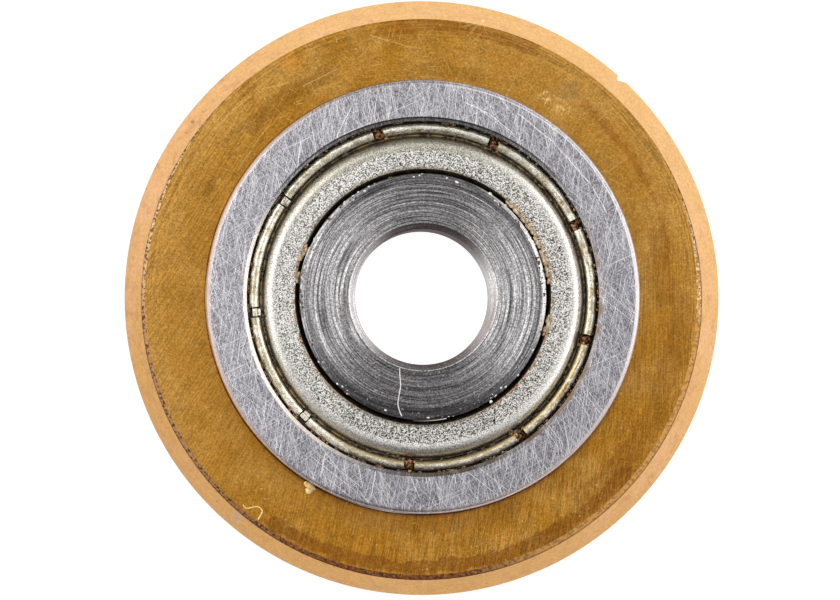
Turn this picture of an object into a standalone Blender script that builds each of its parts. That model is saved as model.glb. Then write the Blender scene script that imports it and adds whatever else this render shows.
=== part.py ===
"""Cutting wheel for a manual tile cutter, running on its own shielded ball bearing.

A coated ring with a V-shaped edge is pressed onto a small deep-groove ball bearing. The bearing holds
an inner and an outer ring, seven balls in a two-piece pressed cage, and a crimped sheet shield on
each side. Everything is turned about Z, with the middle of the bearing's width at the origin.
All sizes below are in millimetres.
"""

import math

import bmesh
import bpy
from mathutils import Matrix, Vector

MM = 0.001

# Cutting ring
WHEEL_DIAMETER = 22.0
WHEEL_THICKNESS = 2.2
EDGE_ANGLE = 120.0  # degrees between the two bevels that meet at the cutting edge
WHEEL_BORE_CHAMFER = 0.1
NICK_ANGLE = 47.9  # degrees round the rim from +X, where a chip is missing from the edge
NICK_WIDTH = 0.36
NICK_DEPTH = 0.16

# Bearing rings
BEARING_DIAMETER = 16.0
BEARING_BORE = 5.0
BEARING_WIDTH = 5.0
OUTER_CORNER = 0.2  # rounding where the outer ring's face meets its outside
BORE_CORNER = 0.22  # chamfer at each end of the bore
SHOULDER_CORNER = 0.2  # rounding on the inner ring's outer corner
LIP_CHAMFER = 0.15
LIP_HEIGHT = 0.3  # straight part of the lip that holds a shield in
SEAT_WIDTH = 0.53  # from the shoulder beside the ball groove out to the lip
UNDERCUT = 0.13  # how far the shield's groove reaches out behind the lip
UNDERCUT_SLOPE = 0.1

# Balls and their grooves
BALL_COUNT = 7
BALL_DIAMETER = 2.778
BALL_PLAY = 0.03  # clearance between a ball and each groove
GROOVE_DEPTH = 0.71
GROOVE_CONFORMITY = 0.52  # groove radius as a share of the ball's diameter

# Two-piece pressed cage
CAGE_SHEET = 0.15
CAGE_WIDTH = 0.8
CAGE_BALL_GAP = 0.06
CAGE_BEND = 0.05  # inner radius of the bend beside each pocket
TAB_WIDTH = 0.45
TAB_FOLD = 0.22

# Shields
SHIELD_SHEET = 0.15
SHIELD_RECESS = 0.2  # from the bearing's face down to the flat of the shield
SHIELD_DROP = 0.5  # from the flat down to the floor of the channel round it
SHIELD_GAP = 0.18  # open ring between the shield and the inner ring
SHOULDER_ROUND = 0.45  # rounding from the flat of the shield down into the channel
WALL_BEND = 0.03  # inside the bend at the foot of the wall below that rounding
CHANNEL_WIDTH = 0.11
BEAD_RECESS = 0.3  # from the bearing's face down to the top of the crimped bead
BEAD_HOLLOW = 0.09  # width left open inside the folded bead
BEAD_LIP_GAP = 0.07  # from the bead to the lip of the outer ring
FLANGE_BEND = 0.025
NOTCH_COUNT = 9
NOTCH_WIDTH = 0.4
NOTCH_START = 25.3  # degrees from +X to the first notch

SEAT_GAP = 0.01  # between faces that are pressed together on the real wheel
SAME_POINT = 0.0001  # points nearer than this are one point

WHEEL_STEPS = 84
RING_STEPS = 42
GROOVE_STEPS = 8
CORNER_STEPS = 2
FINE_RADIUS = 0.03  # a bend tighter than this is one facet
POCKET_STEPS = 8
BALL_SEGMENTS = 14
BALL_RINGS = 7

# Sizes that follow from the ones above
HALF_WIDTH = BEARING_WIDTH / 2
OUTER_RADIUS = BEARING_DIAMETER / 2
BORE_RADIUS = BEARING_BORE / 2
PITCH_RADIUS = (OUTER_RADIUS + BORE_RADIUS) / 2
BALL_RADIUS = BALL_DIAMETER / 2
GROOVE_RADIUS = BALL_DIAMETER * GROOVE_CONFORMITY
OUTER_GROOVE_FLOOR = PITCH_RADIUS + BALL_RADIUS + BALL_PLAY
INNER_GROOVE_FLOOR = PITCH_RADIUS - BALL_RADIUS - BALL_PLAY
OUTER_SHOULDER = OUTER_GROOVE_FLOOR - GROOVE_DEPTH
INNER_SHOULDER = INNER_GROOVE_FLOOR + GROOVE_DEPTH
LIP_RADIUS = OUTER_SHOULDER + SEAT_WIDTH
UNDERCUT_RADIUS = LIP_RADIUS + UNDERCUT
LIP_TOP = HALF_WIDTH - LIP_CHAMFER
LIP_BOTTOM = LIP_TOP - LIP_HEIGHT
HALF_SHEET = SHIELD_SHEET / 2
FLAT_LEVEL = HALF_WIDTH - SHIELD_RECESS - HALF_SHEET
CHANNEL_LEVEL = FLAT_LEVEL - SHIELD_DROP
BEAD_LEVEL = HALF_WIDTH - BEAD_RECESS - HALF_SHEET
SEAT_LEVEL = CHANNEL_LEVEL - HALF_SHEET - SEAT_GAP
POCKET_RADIUS = BALL_RADIUS + CAGE_BALL_GAP + CAGE_SHEET / 2
CAGE_INNER = PITCH_RADIUS - CAGE_WIDTH / 2
CAGE_OUTER = PITCH_RADIUS + CAGE_WIDTH / 2
CAGE_LEVEL = SEAT_GAP / 2 + CAGE_SHEET / 2


def arc(centre, radius, start, end, steps):
    """Points on an arc, from angle start to angle end, in degrees."""
    turns = [math.radians(start + (end - start) * i / steps) for i in range(steps + 1)]
    return [(centre[0] + radius * math.cos(a), centre[1] + radius * math.sin(a)) for a in turns]


def rounded(corners, radii):
    """A polyline whose inner corners are rounded, each by its radius or by as much as its sides allow."""
    places = [Vector(corner) for corner in corners]
    sides = [(after - before).length for before, after in zip(places, places[1:])]
    wanted = [0.0, 0.0]
    for before, here, after, radius in zip(places, places[1:], places[2:], radii):
        wanted.insert(-1, radius / math.tan((before - here).angle(after - here) / 2))
    points = [corners[0]]
    for i, radius in enumerate(radii, start=1):
        here = places[i]
        back = places[i - 1] - here
        ahead = places[i + 1] - here
        if wanted[i] < SAME_POINT:
            points.append(corners[i])
            continue
        room_back = sides[i - 1] / (wanted[i - 1] + wanted[i])
        room_ahead = sides[i] / (wanted[i] + wanted[i + 1])
        reach = wanted[i] * min(1.0, room_back, room_ahead)
        half_angle = back.angle(ahead) / 2
        centre = here + (back.normalized() + ahead.normalized()).normalized() * reach / math.cos(half_angle)
        first = here + back.normalized() * reach - centre
        turn = (here + ahead.normalized() * reach - centre).angle_signed(first)
        steps = 1 if radius < FINE_RADIUS else CORNER_STEPS
        for step in range(steps + 1):
            points.append(tuple(centre + Matrix.Rotation(turn * step / steps, 2) @ first))
    points.append(corners[-1])
    return without_repeats(points)


def without_repeats(points):
    """The points with any that repeats its neighbour left out."""
    kept = [points[0]]
    for point in points[1:]:
        if math.dist(point, kept[-1]) > SAME_POINT:
            kept.append(point)
    return kept


def offset(path, distance):
    """The path moved sideways, to its left where distance is positive."""
    moved = []
    for i, point in enumerate(path):
        before = Vector(path[max(i - 1, 0)])
        here = Vector(point)
        after = Vector(path[min(i + 1, len(path) - 1)])
        sides = [d.normalized().orthogonal() for d in (here - before, after - here) if d.length > 0]
        mitre = (sides[0] + sides[-1]).normalized()
        moved.append(tuple(here + mitre * distance / mitre.dot(sides[0])))
    return moved


def bent_sheet(corners, bends, thickness):
    """The closed outline of a sheet bent at the corners of its middle line.

    bends are the radii of its middle line, so a bend is tighter by half a sheet on its inner side.
    """
    left_turns = []
    for before, corner, after in zip(corners, corners[1:], corners[2:]):
        into = Vector(corner) - Vector(before)
        out_of = Vector(after) - Vector(corner)
        left_turns.append(math.copysign(1, into.x * out_of.y - into.y * out_of.x))
    sides = []
    for shift in (thickness / 2, -thickness / 2):
        radii = [max(bend - left * shift, 0.0) for bend, left in zip(bends, left_turns)]
        sides.append(rounded(offset(corners, shift), radii))
    return sides[0] + sides[1][::-1]


def both_halves(outline_above):
    """An outline given for the half above the middle, closed by its mirror image below."""
    below = [(radius, -height) for radius, height in reversed(outline_above)]
    closed = without_repeats(outline_above + below)
    return closed[:-1] if math.dist(closed[0], closed[-1]) < SAME_POINT else closed


def material(name, colour, roughness, metallic=1.0):
    made = bpy.data.materials.new(name)
    made.use_nodes = True
    shader = made.node_tree.nodes["Principled BSDF"]
    shader.inputs["Base Color"].default_value = (*colour, 1.0)
    shader.inputs["Roughness"].default_value = roughness
    shader.inputs["Metallic"].default_value = metallic
    return made


def new_object(name, shape, finish, parent=None, place=(0.0, 0.0, 0.0)):
    """Makes an object from a bmesh drawn in millimetres."""
    bmesh.ops.scale(shape, vec=(MM, MM, MM), verts=shape.verts)
    bmesh.ops.recalc_face_normals(shape, faces=shape.faces)
    mesh = bpy.data.meshes.new(name)
    shape.to_mesh(mesh)
    shape.free()
    mesh.materials.append(finish)
    return place_object(name, mesh, parent, place)


def place_object(name, mesh, parent=None, place=(0.0, 0.0, 0.0)):
    mesh.shade_smooth()
    mesh.set_sharp_from_angle(angle=math.radians(28))
    made = bpy.data.objects.new(name, mesh)
    made.parent = parent
    made.location = Vector(place) * MM
    bpy.context.scene.collection.objects.link(made)
    return made


def carrier(name, parent=None, place=(0.0, 0.0, 0.0)):
    """An empty on a joint's axis, which carries the pieces that turn together."""
    made = bpy.data.objects.new(name, None)
    made.parent = parent
    made.location = Vector(place) * MM
    bpy.context.scene.collection.objects.link(made)
    return made


def turned(outline, steps):
    """A closed outline of (radius, height) points turned once round Z."""
    shape = bmesh.new()
    corners = [shape.verts.new((radius, 0.0, height)) for radius, height in outline]
    edges = [shape.edges.new((a, b)) for a, b in zip(corners, corners[1:] + corners[:1])]
    bmesh.ops.spin(
        shape,
        geom=corners + edges,
        cent=(0, 0, 0),
        axis=(0, 0, 1),
        angle=math.tau,
        steps=steps,
        use_merge=True,
    )
    return shape


def block(shape, low, high, turn):
    """Adds a box between two (radial, sideways, height) corners, turned round Z by an angle in degrees."""
    middle = (Vector(low) + Vector(high)) / 2
    size = Vector(high) - Vector(low)
    place = Matrix.Rotation(math.radians(turn), 4, "Z") @ Matrix.Translation(middle)
    bmesh.ops.create_cube(shape, size=1.0, matrix=place @ Matrix.Diagonal((*size, 1.0)))


def combine(target, tool, operation):
    """Cuts the tool from the target, or joins it on, and hides the tool."""
    step = target.modifiers.new(tool.name, "BOOLEAN")
    step.operation = operation
    step.object = tool
    step.solver = "EXACT"
    tool.hide_render = True
    tool.display_type = "WIRE"


def cutting_ring(finish, parent):
    """The coated ring: a bore for the bearing, two flat faces and two bevels that meet at the edge."""
    bore = OUTER_RADIUS + SEAT_GAP
    tip = WHEEL_DIAMETER / 2
    half = WHEEL_THICKNESS / 2
    bevel = half / math.tan(math.radians(EDGE_ANGLE / 2))
    above = [
        (tip, 0.0),
        (tip - bevel, half),
        (bore + WHEEL_BORE_CHAMFER, half),
        (bore, half - WHEEL_BORE_CHAMFER),
    ]
    ring = new_object("cutting_wheel", turned(both_halves(above), WHEEL_STEPS), finish, parent)
    combine(ring, edge_nick(finish, parent), "DIFFERENCE")
    return ring


def edge_nick(finish, parent):
    """The wedge that takes a chip out of the edge, steep on one side and shallow on the other."""
    tip = WHEEL_DIAMETER / 2
    outside = tip + NICK_DEPTH
    corners = [
        (tip - NICK_DEPTH, NICK_WIDTH / 4),
        (outside, NICK_WIDTH / 3),
        (outside, -1.5 * NICK_WIDTH),
    ]
    shape = bmesh.new()
    base = [shape.verts.new((x, y, -WHEEL_THICKNESS)) for x, y in corners]
    grown = bmesh.ops.extrude_face_region(shape, geom=[shape.faces.new(base)])
    top = [item for item in grown["geom"] if isinstance(item, bmesh.types.BMVert)]
    bmesh.ops.translate(shape, vec=(0, 0, 2 * WHEEL_THICKNESS), verts=top)
    bmesh.ops.rotate(shape, matrix=Matrix.Rotation(math.radians(NICK_ANGLE), 3, "Z"), verts=shape.verts)
    return new_object("edge_nick_tool", shape, finish, parent)


def groove_above(floor, inward):
    """The half of a ball groove above the middle, from its floor to its shoulder.

    inward is 1 for the outer ring, whose groove opens towards the axis, and -1 for the inner ring.
    """
    centre = floor - inward * GROOVE_RADIUS
    reach = math.degrees(math.acos(1 - GROOVE_DEPTH / GROOVE_RADIUS))
    steps = GROOVE_STEPS // 2
    return [
        (centre + inward * GROOVE_RADIUS * math.cos(a), GROOVE_RADIUS * math.sin(a))
        for a in (math.radians(reach * i / steps) for i in range(steps + 1))
    ]


def outer_ring(finish, parent):
    face = arc(
        (OUTER_RADIUS - OUTER_CORNER, HALF_WIDTH - OUTER_CORNER), OUTER_CORNER, 90, 0, CORNER_STEPS
    )
    above = groove_above(OUTER_GROOVE_FLOOR, 1) + [
        (OUTER_SHOULDER, SEAT_LEVEL),
        (UNDERCUT_RADIUS, SEAT_LEVEL),
        (UNDERCUT_RADIUS, LIP_BOTTOM - UNDERCUT_SLOPE),
        (LIP_RADIUS, LIP_BOTTOM),
        (LIP_RADIUS, LIP_TOP),
        (LIP_RADIUS + LIP_CHAMFER, HALF_WIDTH),
    ]
    outline = both_halves(above + face)
    return new_object("outer_ring", turned(outline, RING_STEPS), finish, parent)


def inner_ring(finish, parent):
    corner = arc(
        (INNER_SHOULDER - SHOULDER_CORNER, HALF_WIDTH - SHOULDER_CORNER),
        SHOULDER_CORNER,
        0,
        90,
        CORNER_STEPS,
    )
    bore = [
        (BORE_RADIUS + BORE_CORNER, HALF_WIDTH),
        (BORE_RADIUS, HALF_WIDTH - BORE_CORNER),
    ]
    outline = both_halves(groove_above(INNER_GROOVE_FLOOR, -1) + corner + bore)
    return new_object("inner_ring", turned(outline, RING_STEPS), finish, parent)


def shield_outline():
    """The shield's section above the middle, from its inner edge out to the flange behind the lip."""
    bead_outer = LIP_RADIUS - BEAD_LIP_GAP - HALF_SHEET
    bead_inner = bead_outer - BEAD_HOLLOW - SHIELD_SHEET
    wall = bead_inner - CHANNEL_WIDTH - SHIELD_SHEET
    corners = [
        (INNER_SHOULDER + SHIELD_GAP, FLAT_LEVEL),
        (wall, FLAT_LEVEL),
        (wall, CHANNEL_LEVEL),
        (bead_inner, CHANNEL_LEVEL),
        (bead_inner, BEAD_LEVEL),
        (bead_outer, BEAD_LEVEL),
        (bead_outer, CHANNEL_LEVEL),
        (UNDERCUT_RADIUS - SEAT_GAP, CHANNEL_LEVEL),
    ]
    channel_bend = (CHANNEL_WIDTH + SHIELD_SHEET) / 2
    bead_bend = (BEAD_HOLLOW + SHIELD_SHEET) / 2
    bends = [
        SHOULDER_ROUND - HALF_SHEET,
        WALL_BEND + HALF_SHEET,
        channel_bend,
        bead_bend,
        bead_bend,
        FLANGE_BEND + HALF_SHEET,
    ]
    return bent_sheet(corners, bends, SHIELD_SHEET)


def shield(name, side, finish, parent):
    """A pressed shield: a flat, a channel, and a bead whose notched flange is crimped behind the lip."""
    outline = [(radius, side * height) for radius, height in shield_outline()]
    made = new_object(name, turned(outline, RING_STEPS), finish, parent)
    cutter = bmesh.new()
    channel_middle = LIP_RADIUS - BEAD_LIP_GAP - BEAD_HOLLOW - 2 * SHIELD_SHEET - CHANNEL_WIDTH / 2
    for i in range(NOTCH_COUNT):
        block(
            cutter,
            (channel_middle, -NOTCH_WIDTH / 2, 0.0),
            (OUTER_RADIUS, NOTCH_WIDTH / 2, side * BEARING_WIDTH),
            NOTCH_START + i * 360 / NOTCH_COUNT,
        )
    combine(made, new_object(name + "_notch_tool", cutter, finish, parent), "DIFFERENCE")
    return made


def pocket_path():
    """The middle of the cage's sheet over one ball, unrolled, from one gap's middle to the next."""
    end = math.pi * PITCH_RADIUS / BALL_COUNT
    bend = CAGE_BEND + CAGE_SHEET / 2
    foot_height = CAGE_LEVEL + bend
    foot = math.sqrt((POCKET_RADIUS + bend) ** 2 - foot_height**2)
    rise = math.degrees(math.atan2(foot_height, foot))
    left_bend = arc((-foot, foot_height), bend, -90, -rise, 1)
    over = arc((0.0, 0.0), POCKET_RADIUS, 180 - rise, rise, POCKET_STEPS)
    right_bend = arc((foot, foot_height), bend, 180 + rise, 270, 1)
    return without_repeats([(-end, CAGE_LEVEL)] + left_bend + over + right_bend + [(end, CAGE_LEVEL)])


def cage_band(side):
    """The wavy band of one cage half, wrapped round the pitch circle."""
    path = pocket_path()
    top = offset(path, CAGE_SHEET / 2)
    bottom = offset(path, -CAGE_SHEET / 2)
    shape = bmesh.new()
    stations = []
    for ball in range(BALL_COUNT):
        middle = ball_angle(ball)
        for upper, lower in zip(top[:-1], bottom[:-1]):
            section = []
            for radius, (along, height) in (
                (CAGE_INNER, lower),
                (CAGE_OUTER, lower),
                (CAGE_OUTER, upper),
                (CAGE_INNER, upper),
            ):
                angle = middle + along / PITCH_RADIUS
                spot = (radius * math.cos(angle), radius * math.sin(angle), side * height)
                section.append(shape.verts.new(spot))
            stations.append(section)
    for near, far in zip(stations, stations[1:] + stations[:1]):
        for a, b in ((0, 1), (1, 2), (2, 3), (3, 0)):
            shape.faces.new((near[a], near[b], far[b], far[a]))
    return shape


def ball_angle(ball):
    return math.tau * ball / BALL_COUNT + math.pi / 2


def gap_angles():
    """The middle of each gap between two balls, in degrees."""
    return [math.degrees(ball_angle(ball) + math.pi / BALL_COUNT) for ball in range(BALL_COUNT)]


def cage_tabs(finish, parent):
    """Two tabs a gap, bent from the front half's edges over the back half."""
    top = CAGE_LEVEL
    shelf = -(CAGE_LEVEL + CAGE_SHEET / 2 + SEAT_GAP)
    floor = shelf - CAGE_SHEET
    half = TAB_WIDTH / 2
    shape = bmesh.new()
    for turn in gap_angles():
        outer_leg = math.sqrt(CAGE_OUTER**2 - half**2) - SEAT_GAP
        inner_leg = CAGE_INNER + SEAT_GAP
        tabs = (
            (outer_leg - CAGE_SHEET, outer_leg, outer_leg - CAGE_SHEET - TAB_FOLD, outer_leg - CAGE_SHEET / 2),
            (inner_leg, inner_leg + CAGE_SHEET, inner_leg + CAGE_SHEET / 2, inner_leg + CAGE_SHEET + TAB_FOLD),
        )
        for leg_in, leg_out, foot_in, foot_out in tabs:
            tab = bmesh.new()
            add_bent_tab(tab, leg_in, leg_out, foot_in, foot_out, half, floor, shelf, top, turn)
            move_into(shape, tab)
    return new_object("cage_tab_shape", shape, finish, parent)


def add_bent_tab(shape, leg_in, leg_out, foot_in, foot_out, half, floor, shelf, top, turn):
    """One L-shaped tab: a leg down past the back half, and a foot folded under it."""
    if foot_in < leg_in:
        section = [
            (foot_in, floor),
            (leg_out, floor),
            (leg_out, top),
            (leg_in, top),
            (leg_in, shelf),
            (foot_in, shelf),
        ]
    else:
        section = [
            (leg_in, floor),
            (foot_out, floor),
            (foot_out, shelf),
            (leg_out, shelf),
            (leg_out, top),
            (leg_in, top),
        ]
    corners = [shape.verts.new((x, -half, z)) for x, z in section]
    grown = bmesh.ops.extrude_face_region(shape, geom=[shape.faces.new(corners)])
    far = [item for item in grown["geom"] if isinstance(item, bmesh.types.BMVert)]
    bmesh.ops.translate(shape, vec=(0, 2 * half, 0), verts=far)
    bmesh.ops.rotate(shape, matrix=Matrix.Rotation(math.radians(turn), 3, "Z"), verts=shape.verts)


def move_into(shape, piece):
    """Adds a finished piece to a shape."""
    bmesh.ops.recalc_face_normals(piece, faces=piece.faces)
    mesh = bpy.data.meshes.new("piece")
    piece.to_mesh(mesh)
    piece.free()
    shape.from_mesh(mesh)
    bpy.data.meshes.remove(mesh)


def cage_slots(finish, parent):
    """The slots in the back half's edges that the tabs pass through."""
    half = TAB_WIDTH / 2 + SEAT_GAP
    outer_slot = math.sqrt(CAGE_OUTER**2 - (TAB_WIDTH / 2) ** 2) - 2 * SEAT_GAP - CAGE_SHEET
    inner_slot = CAGE_INNER + 2 * SEAT_GAP + CAGE_SHEET
    shape = bmesh.new()
    for turn in gap_angles():
        block(shape, (outer_slot, -half, -CAGE_WIDTH), (OUTER_SHOULDER, half, CAGE_WIDTH), turn)
        block(shape, (INNER_SHOULDER, -half, -CAGE_WIDTH), (inner_slot, half, CAGE_WIDTH), turn)
    return new_object("cage_slot_tool", shape, finish, parent)


def cage(finish, parent):
    front = new_object("cage_front_half", cage_band(1), finish, parent)
    combine(front, cage_tabs(finish, parent), "UNION")
    back = new_object("cage_back_half", cage_band(-1), finish, parent)
    combine(back, cage_slots(finish, parent), "DIFFERENCE")
    return front, back


def balls(finish, parent):
    """Each ball on its own carrier, whose axis is the one that the ball rolls about."""
    shape = bmesh.new()
    bmesh.ops.create_uvsphere(
        shape, u_segments=BALL_SEGMENTS, v_segments=BALL_RINGS, radius=BALL_RADIUS * MM
    )
    mesh = bpy.data.meshes.new("ball")
    shape.to_mesh(mesh)
    shape.free()
    mesh.materials.append(finish)
    for ball in range(BALL_COUNT):
        angle = ball_angle(ball)
        place = (PITCH_RADIUS * math.cos(angle), PITCH_RADIUS * math.sin(angle), 0.0)
        spot = carrier(f"ball_carrier_{ball + 1}", parent, place)
        place_object(f"ball_{ball + 1}", mesh, spot)


def build():
    for old in list(bpy.data.objects):
        bpy.data.objects.remove(old)
    coating = material("gold_coating", (0.43, 0.22, 0.055), 0.38)
    ring_steel = material("bearing_steel", (0.42, 0.41, 0.43), 0.34)
    sheet_steel = material("plated_sheet", (0.52, 0.50, 0.45), 0.42)
    cage_steel = material("cage_steel", (0.40, 0.39, 0.37), 0.38)
    ball_steel = material("ball_steel", (0.60, 0.60, 0.62), 0.12)

    axle_side = carrier("axle_side")
    inner_ring(ring_steel, axle_side)

    wheel_side = carrier("wheel_side", axle_side)
    cutting_ring(coating, wheel_side)
    outer_ring(ring_steel, wheel_side)
    shield("front_shield", 1, sheet_steel, wheel_side)
    shield("back_shield", -1, sheet_steel, wheel_side)

    cage_side = carrier("cage_side", axle_side)
    cage(cage_steel, cage_side)
    balls(ball_steel, cage_side)


build()
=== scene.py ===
import math
import random

import bmesh
import bpy
from mathutils import Matrix, Vector, noise

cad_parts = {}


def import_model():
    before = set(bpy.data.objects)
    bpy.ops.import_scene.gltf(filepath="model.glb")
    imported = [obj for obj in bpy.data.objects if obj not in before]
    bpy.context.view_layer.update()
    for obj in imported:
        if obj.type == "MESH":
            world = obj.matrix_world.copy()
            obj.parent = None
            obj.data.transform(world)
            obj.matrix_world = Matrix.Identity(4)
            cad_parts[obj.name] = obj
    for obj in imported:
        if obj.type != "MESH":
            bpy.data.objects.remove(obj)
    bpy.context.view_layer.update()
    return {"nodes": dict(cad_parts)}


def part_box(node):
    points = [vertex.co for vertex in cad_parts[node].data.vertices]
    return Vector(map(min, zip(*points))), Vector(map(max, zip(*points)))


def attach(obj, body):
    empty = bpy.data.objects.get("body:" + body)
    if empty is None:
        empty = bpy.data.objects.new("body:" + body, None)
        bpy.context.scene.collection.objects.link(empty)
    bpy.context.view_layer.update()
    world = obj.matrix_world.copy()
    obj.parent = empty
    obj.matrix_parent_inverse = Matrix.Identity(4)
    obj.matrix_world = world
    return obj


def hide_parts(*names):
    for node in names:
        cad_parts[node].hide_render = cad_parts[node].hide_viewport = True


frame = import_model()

# The cutting wheel lies on a pale floor on its bearing's back face and is seen from straight above.
# Every size here is in millimetres, and every piece stands in the place of the CAD node it replaces.
MM = 0.001
FULL_TURN = 360.0
SAME_POINT = 0.0001

# Facets
FINE_STEPS = 360
COLLAR_STEPS = 180
GROOVE_STEPS = 12
ARC_FACET = 12.0  # degrees that one facet of a rounding turns through
CREASE = 32.0  # degrees past which an edge stays sharp
EDGE_CREASE = 4.0
SOFT_CREASE = 60.0

# Cutting ring
SEAM_CHAMFER = 0.04
EDGE_ANGLE = 120.0
BEVEL_SHIFT = (-0.022, -0.075)  # the flat was ground this far off centre
LAND_WIDTH = 0.2  # the second, rough land beside the bevel at its widest
LAND_DROP = 0.03
LAND_MIDDLE = 262.0  # degrees round from +X where the land is in its middle
LAND_WIDEST = 322.0  # and where it is widest
LAND_ENDS = (-0.72, -0.1)  # cosines from its middle, where it starts and where it is full
LAND_START = 0.01
# A face is on a bevel, or on the land, where the upright part of its normal is less than this
BEVEL_TILT = 0.8
LAND_TILT = 0.99995
NICK_ANGLE = 47.9
NICK_WIDTH = 0.36
NICK_DEPTH = 0.16

# Bearing
OUTER_CORNER = 0.2
BORE_CORNER = 0.22
SHOULDER_CORNER = 0.2
LIP_CHAMFER = 0.15
LIP_HEIGHT = 0.3
SEAT_WIDTH = 0.53
UNDERCUT = 0.13
UNDERCUT_SLOPE = 0.1
BALL_COUNT = 7
BALL_DIAMETER = 2.778
BALL_PLAY = 0.03
GROOVE_DEPTH = 0.71
GROOVE_CONFORMITY = 0.52
SHIELD_SHEET = 0.15
SHIELD_RECESS = 0.2
SHIELD_DROP = 0.5
SHIELD_GAP = 0.18
SHOULDER_ROUND = 0.45
WALL_BEND = 0.03
CHANNEL_WIDTH = 0.11
BEAD_RECESS = 0.3
BEAD_HOLLOW = 0.09
BEAD_LIP_GAP = 0.07
FLANGE_BEND = 0.025
NOTCH_COUNT = 9
NOTCH_WIDTH = 0.4
NOTCH_START = 25.3
SEAT_GAP = 0.01

# The photograph's frame, in its own pixels
MID_SCALE = 27.0  # pixels to a millimetre, halfway through the wheel
IMAGE_WIDTH = 840
IMAGE_HEIGHT = 600
CENTRE_COLUMN = 421.7
CENTRE_ROW = 297.9
CAMERA_DISTANCE = 382.5
CAMERA_TILT = 1.0  # degrees off straight above, towards -Y
CAMERA_LEAN = 1.2  # and towards -X


def reach(node):
    """The inner radius, outer radius and half height of a round CAD node, in millimetres."""
    spots = [vertex.co / MM for vertex in frame["nodes"][node].data.vertices]
    radii = [spot.xy.length for spot in spots]
    return min(radii), max(radii), max(spot.z for spot in spots)


WHEEL_BORE, WHEEL_TIP, WHEEL_HALF = reach("cutting_wheel")
BORE_RADIUS, _, HALF_WIDTH = reach("inner_ring")
OUTER_SHOULDER, OUTER_RADIUS, _ = reach("outer_ring")
BEVEL_LINE = WHEEL_TIP - WHEEL_HALF / math.tan(math.radians(EDGE_ANGLE / 2))
PITCH_RADIUS = (OUTER_RADIUS + BORE_RADIUS) / 2
BALL_RADIUS = BALL_DIAMETER / 2
GROOVE_RADIUS = BALL_DIAMETER * GROOVE_CONFORMITY
OUTER_GROOVE_FLOOR = PITCH_RADIUS + BALL_RADIUS + BALL_PLAY
INNER_GROOVE_FLOOR = PITCH_RADIUS - BALL_RADIUS - BALL_PLAY
INNER_SHOULDER = INNER_GROOVE_FLOOR + GROOVE_DEPTH
LIP_RADIUS = OUTER_SHOULDER + SEAT_WIDTH
LIP_EDGE = LIP_RADIUS + LIP_CHAMFER
UNDERCUT_RADIUS = LIP_RADIUS + UNDERCUT
LIP_TOP = HALF_WIDTH - LIP_CHAMFER
LIP_BOTTOM = LIP_TOP - LIP_HEIGHT
HALF_SHEET = SHIELD_SHEET / 2
FLAT_LEVEL = HALF_WIDTH - SHIELD_RECESS - HALF_SHEET
CHANNEL_LEVEL = FLAT_LEVEL - SHIELD_DROP
BEAD_LEVEL = HALF_WIDTH - BEAD_RECESS - HALF_SHEET
SEAT_LEVEL = CHANNEL_LEVEL - HALF_SHEET - SEAT_GAP
BEAD_OUTER = LIP_RADIUS - BEAD_LIP_GAP - HALF_SHEET
BEAD_INNER = BEAD_OUTER - BEAD_HOLLOW - SHIELD_SHEET
SHIELD_WALL = BEAD_INNER - CHANNEL_WIDTH - SHIELD_SHEET
SHIELD_INNER = INNER_SHOULDER + SHIELD_GAP


# Shapes


def on_face(column, row, height):
    """The place on the wheel, in millimetres, that a pixel of the photograph shows at a height."""
    scale = MID_SCALE * CAMERA_DISTANCE / (CAMERA_DISTANCE - height)
    across = (column - CENTRE_COLUMN) / scale - height * math.tan(math.radians(CAMERA_LEAN))
    along = (CENTRE_ROW - row) / scale - height * math.tan(math.radians(CAMERA_TILT))
    return across, along


def arc(centre, radius, start, end, steps):
    turns = [math.radians(start + (end - start) * i / steps) for i in range(steps + 1)]
    return [(centre[0] + radius * math.cos(a), centre[1] + radius * math.sin(a)) for a in turns]


def rounded(corners, radii):
    """A polyline whose inner corners are rounded, each by its radius or by what its sides allow."""
    places = [Vector(corner) for corner in corners]
    sides = [(after - before).length for before, after in zip(places, places[1:])]
    wanted = [0.0, 0.0]
    for before, here, after, radius in zip(places, places[1:], places[2:], radii):
        wanted.insert(-1, radius / math.tan((before - here).angle(after - here) / 2))
    points = [corners[0]]
    for i, radius in enumerate(radii, start=1):
        here = places[i]
        back = places[i - 1] - here
        ahead = places[i + 1] - here
        if wanted[i] < SAME_POINT:
            points.append(corners[i])
            continue
        room_back = sides[i - 1] / (wanted[i - 1] + wanted[i])
        room_ahead = sides[i] / (wanted[i] + wanted[i + 1])
        span = wanted[i] * min(1.0, room_back, room_ahead)
        half_angle = back.angle(ahead) / 2
        centre = here + (back.normalized() + ahead.normalized()).normalized() * span / math.cos(half_angle)
        first = here + back.normalized() * span - centre
        turn = (here + ahead.normalized() * span - centre).angle_signed(first)
        steps = max(1, round(abs(math.degrees(turn)) / ARC_FACET))
        for step in range(steps + 1):
            points.append(tuple(centre + Matrix.Rotation(turn * step / steps, 2) @ first))
    points.append(corners[-1])
    return without_repeats(points)


def without_repeats(points):
    kept = [points[0]]
    for point in points[1:]:
        if math.dist(point, kept[-1]) > SAME_POINT:
            kept.append(point)
    return kept


def offset(path, distance):
    """The path moved sideways, to its left where distance is positive."""
    moved = []
    for i, point in enumerate(path):
        before = Vector(path[max(i - 1, 0)])
        here = Vector(point)
        after = Vector(path[min(i + 1, len(path) - 1)])
        sides = [d.normalized().orthogonal() for d in (here - before, after - here) if d.length > 0]
        mitre = (sides[0] + sides[-1]).normalized()
        moved.append(tuple(here + mitre * distance / mitre.dot(sides[0])))
    return moved


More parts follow.
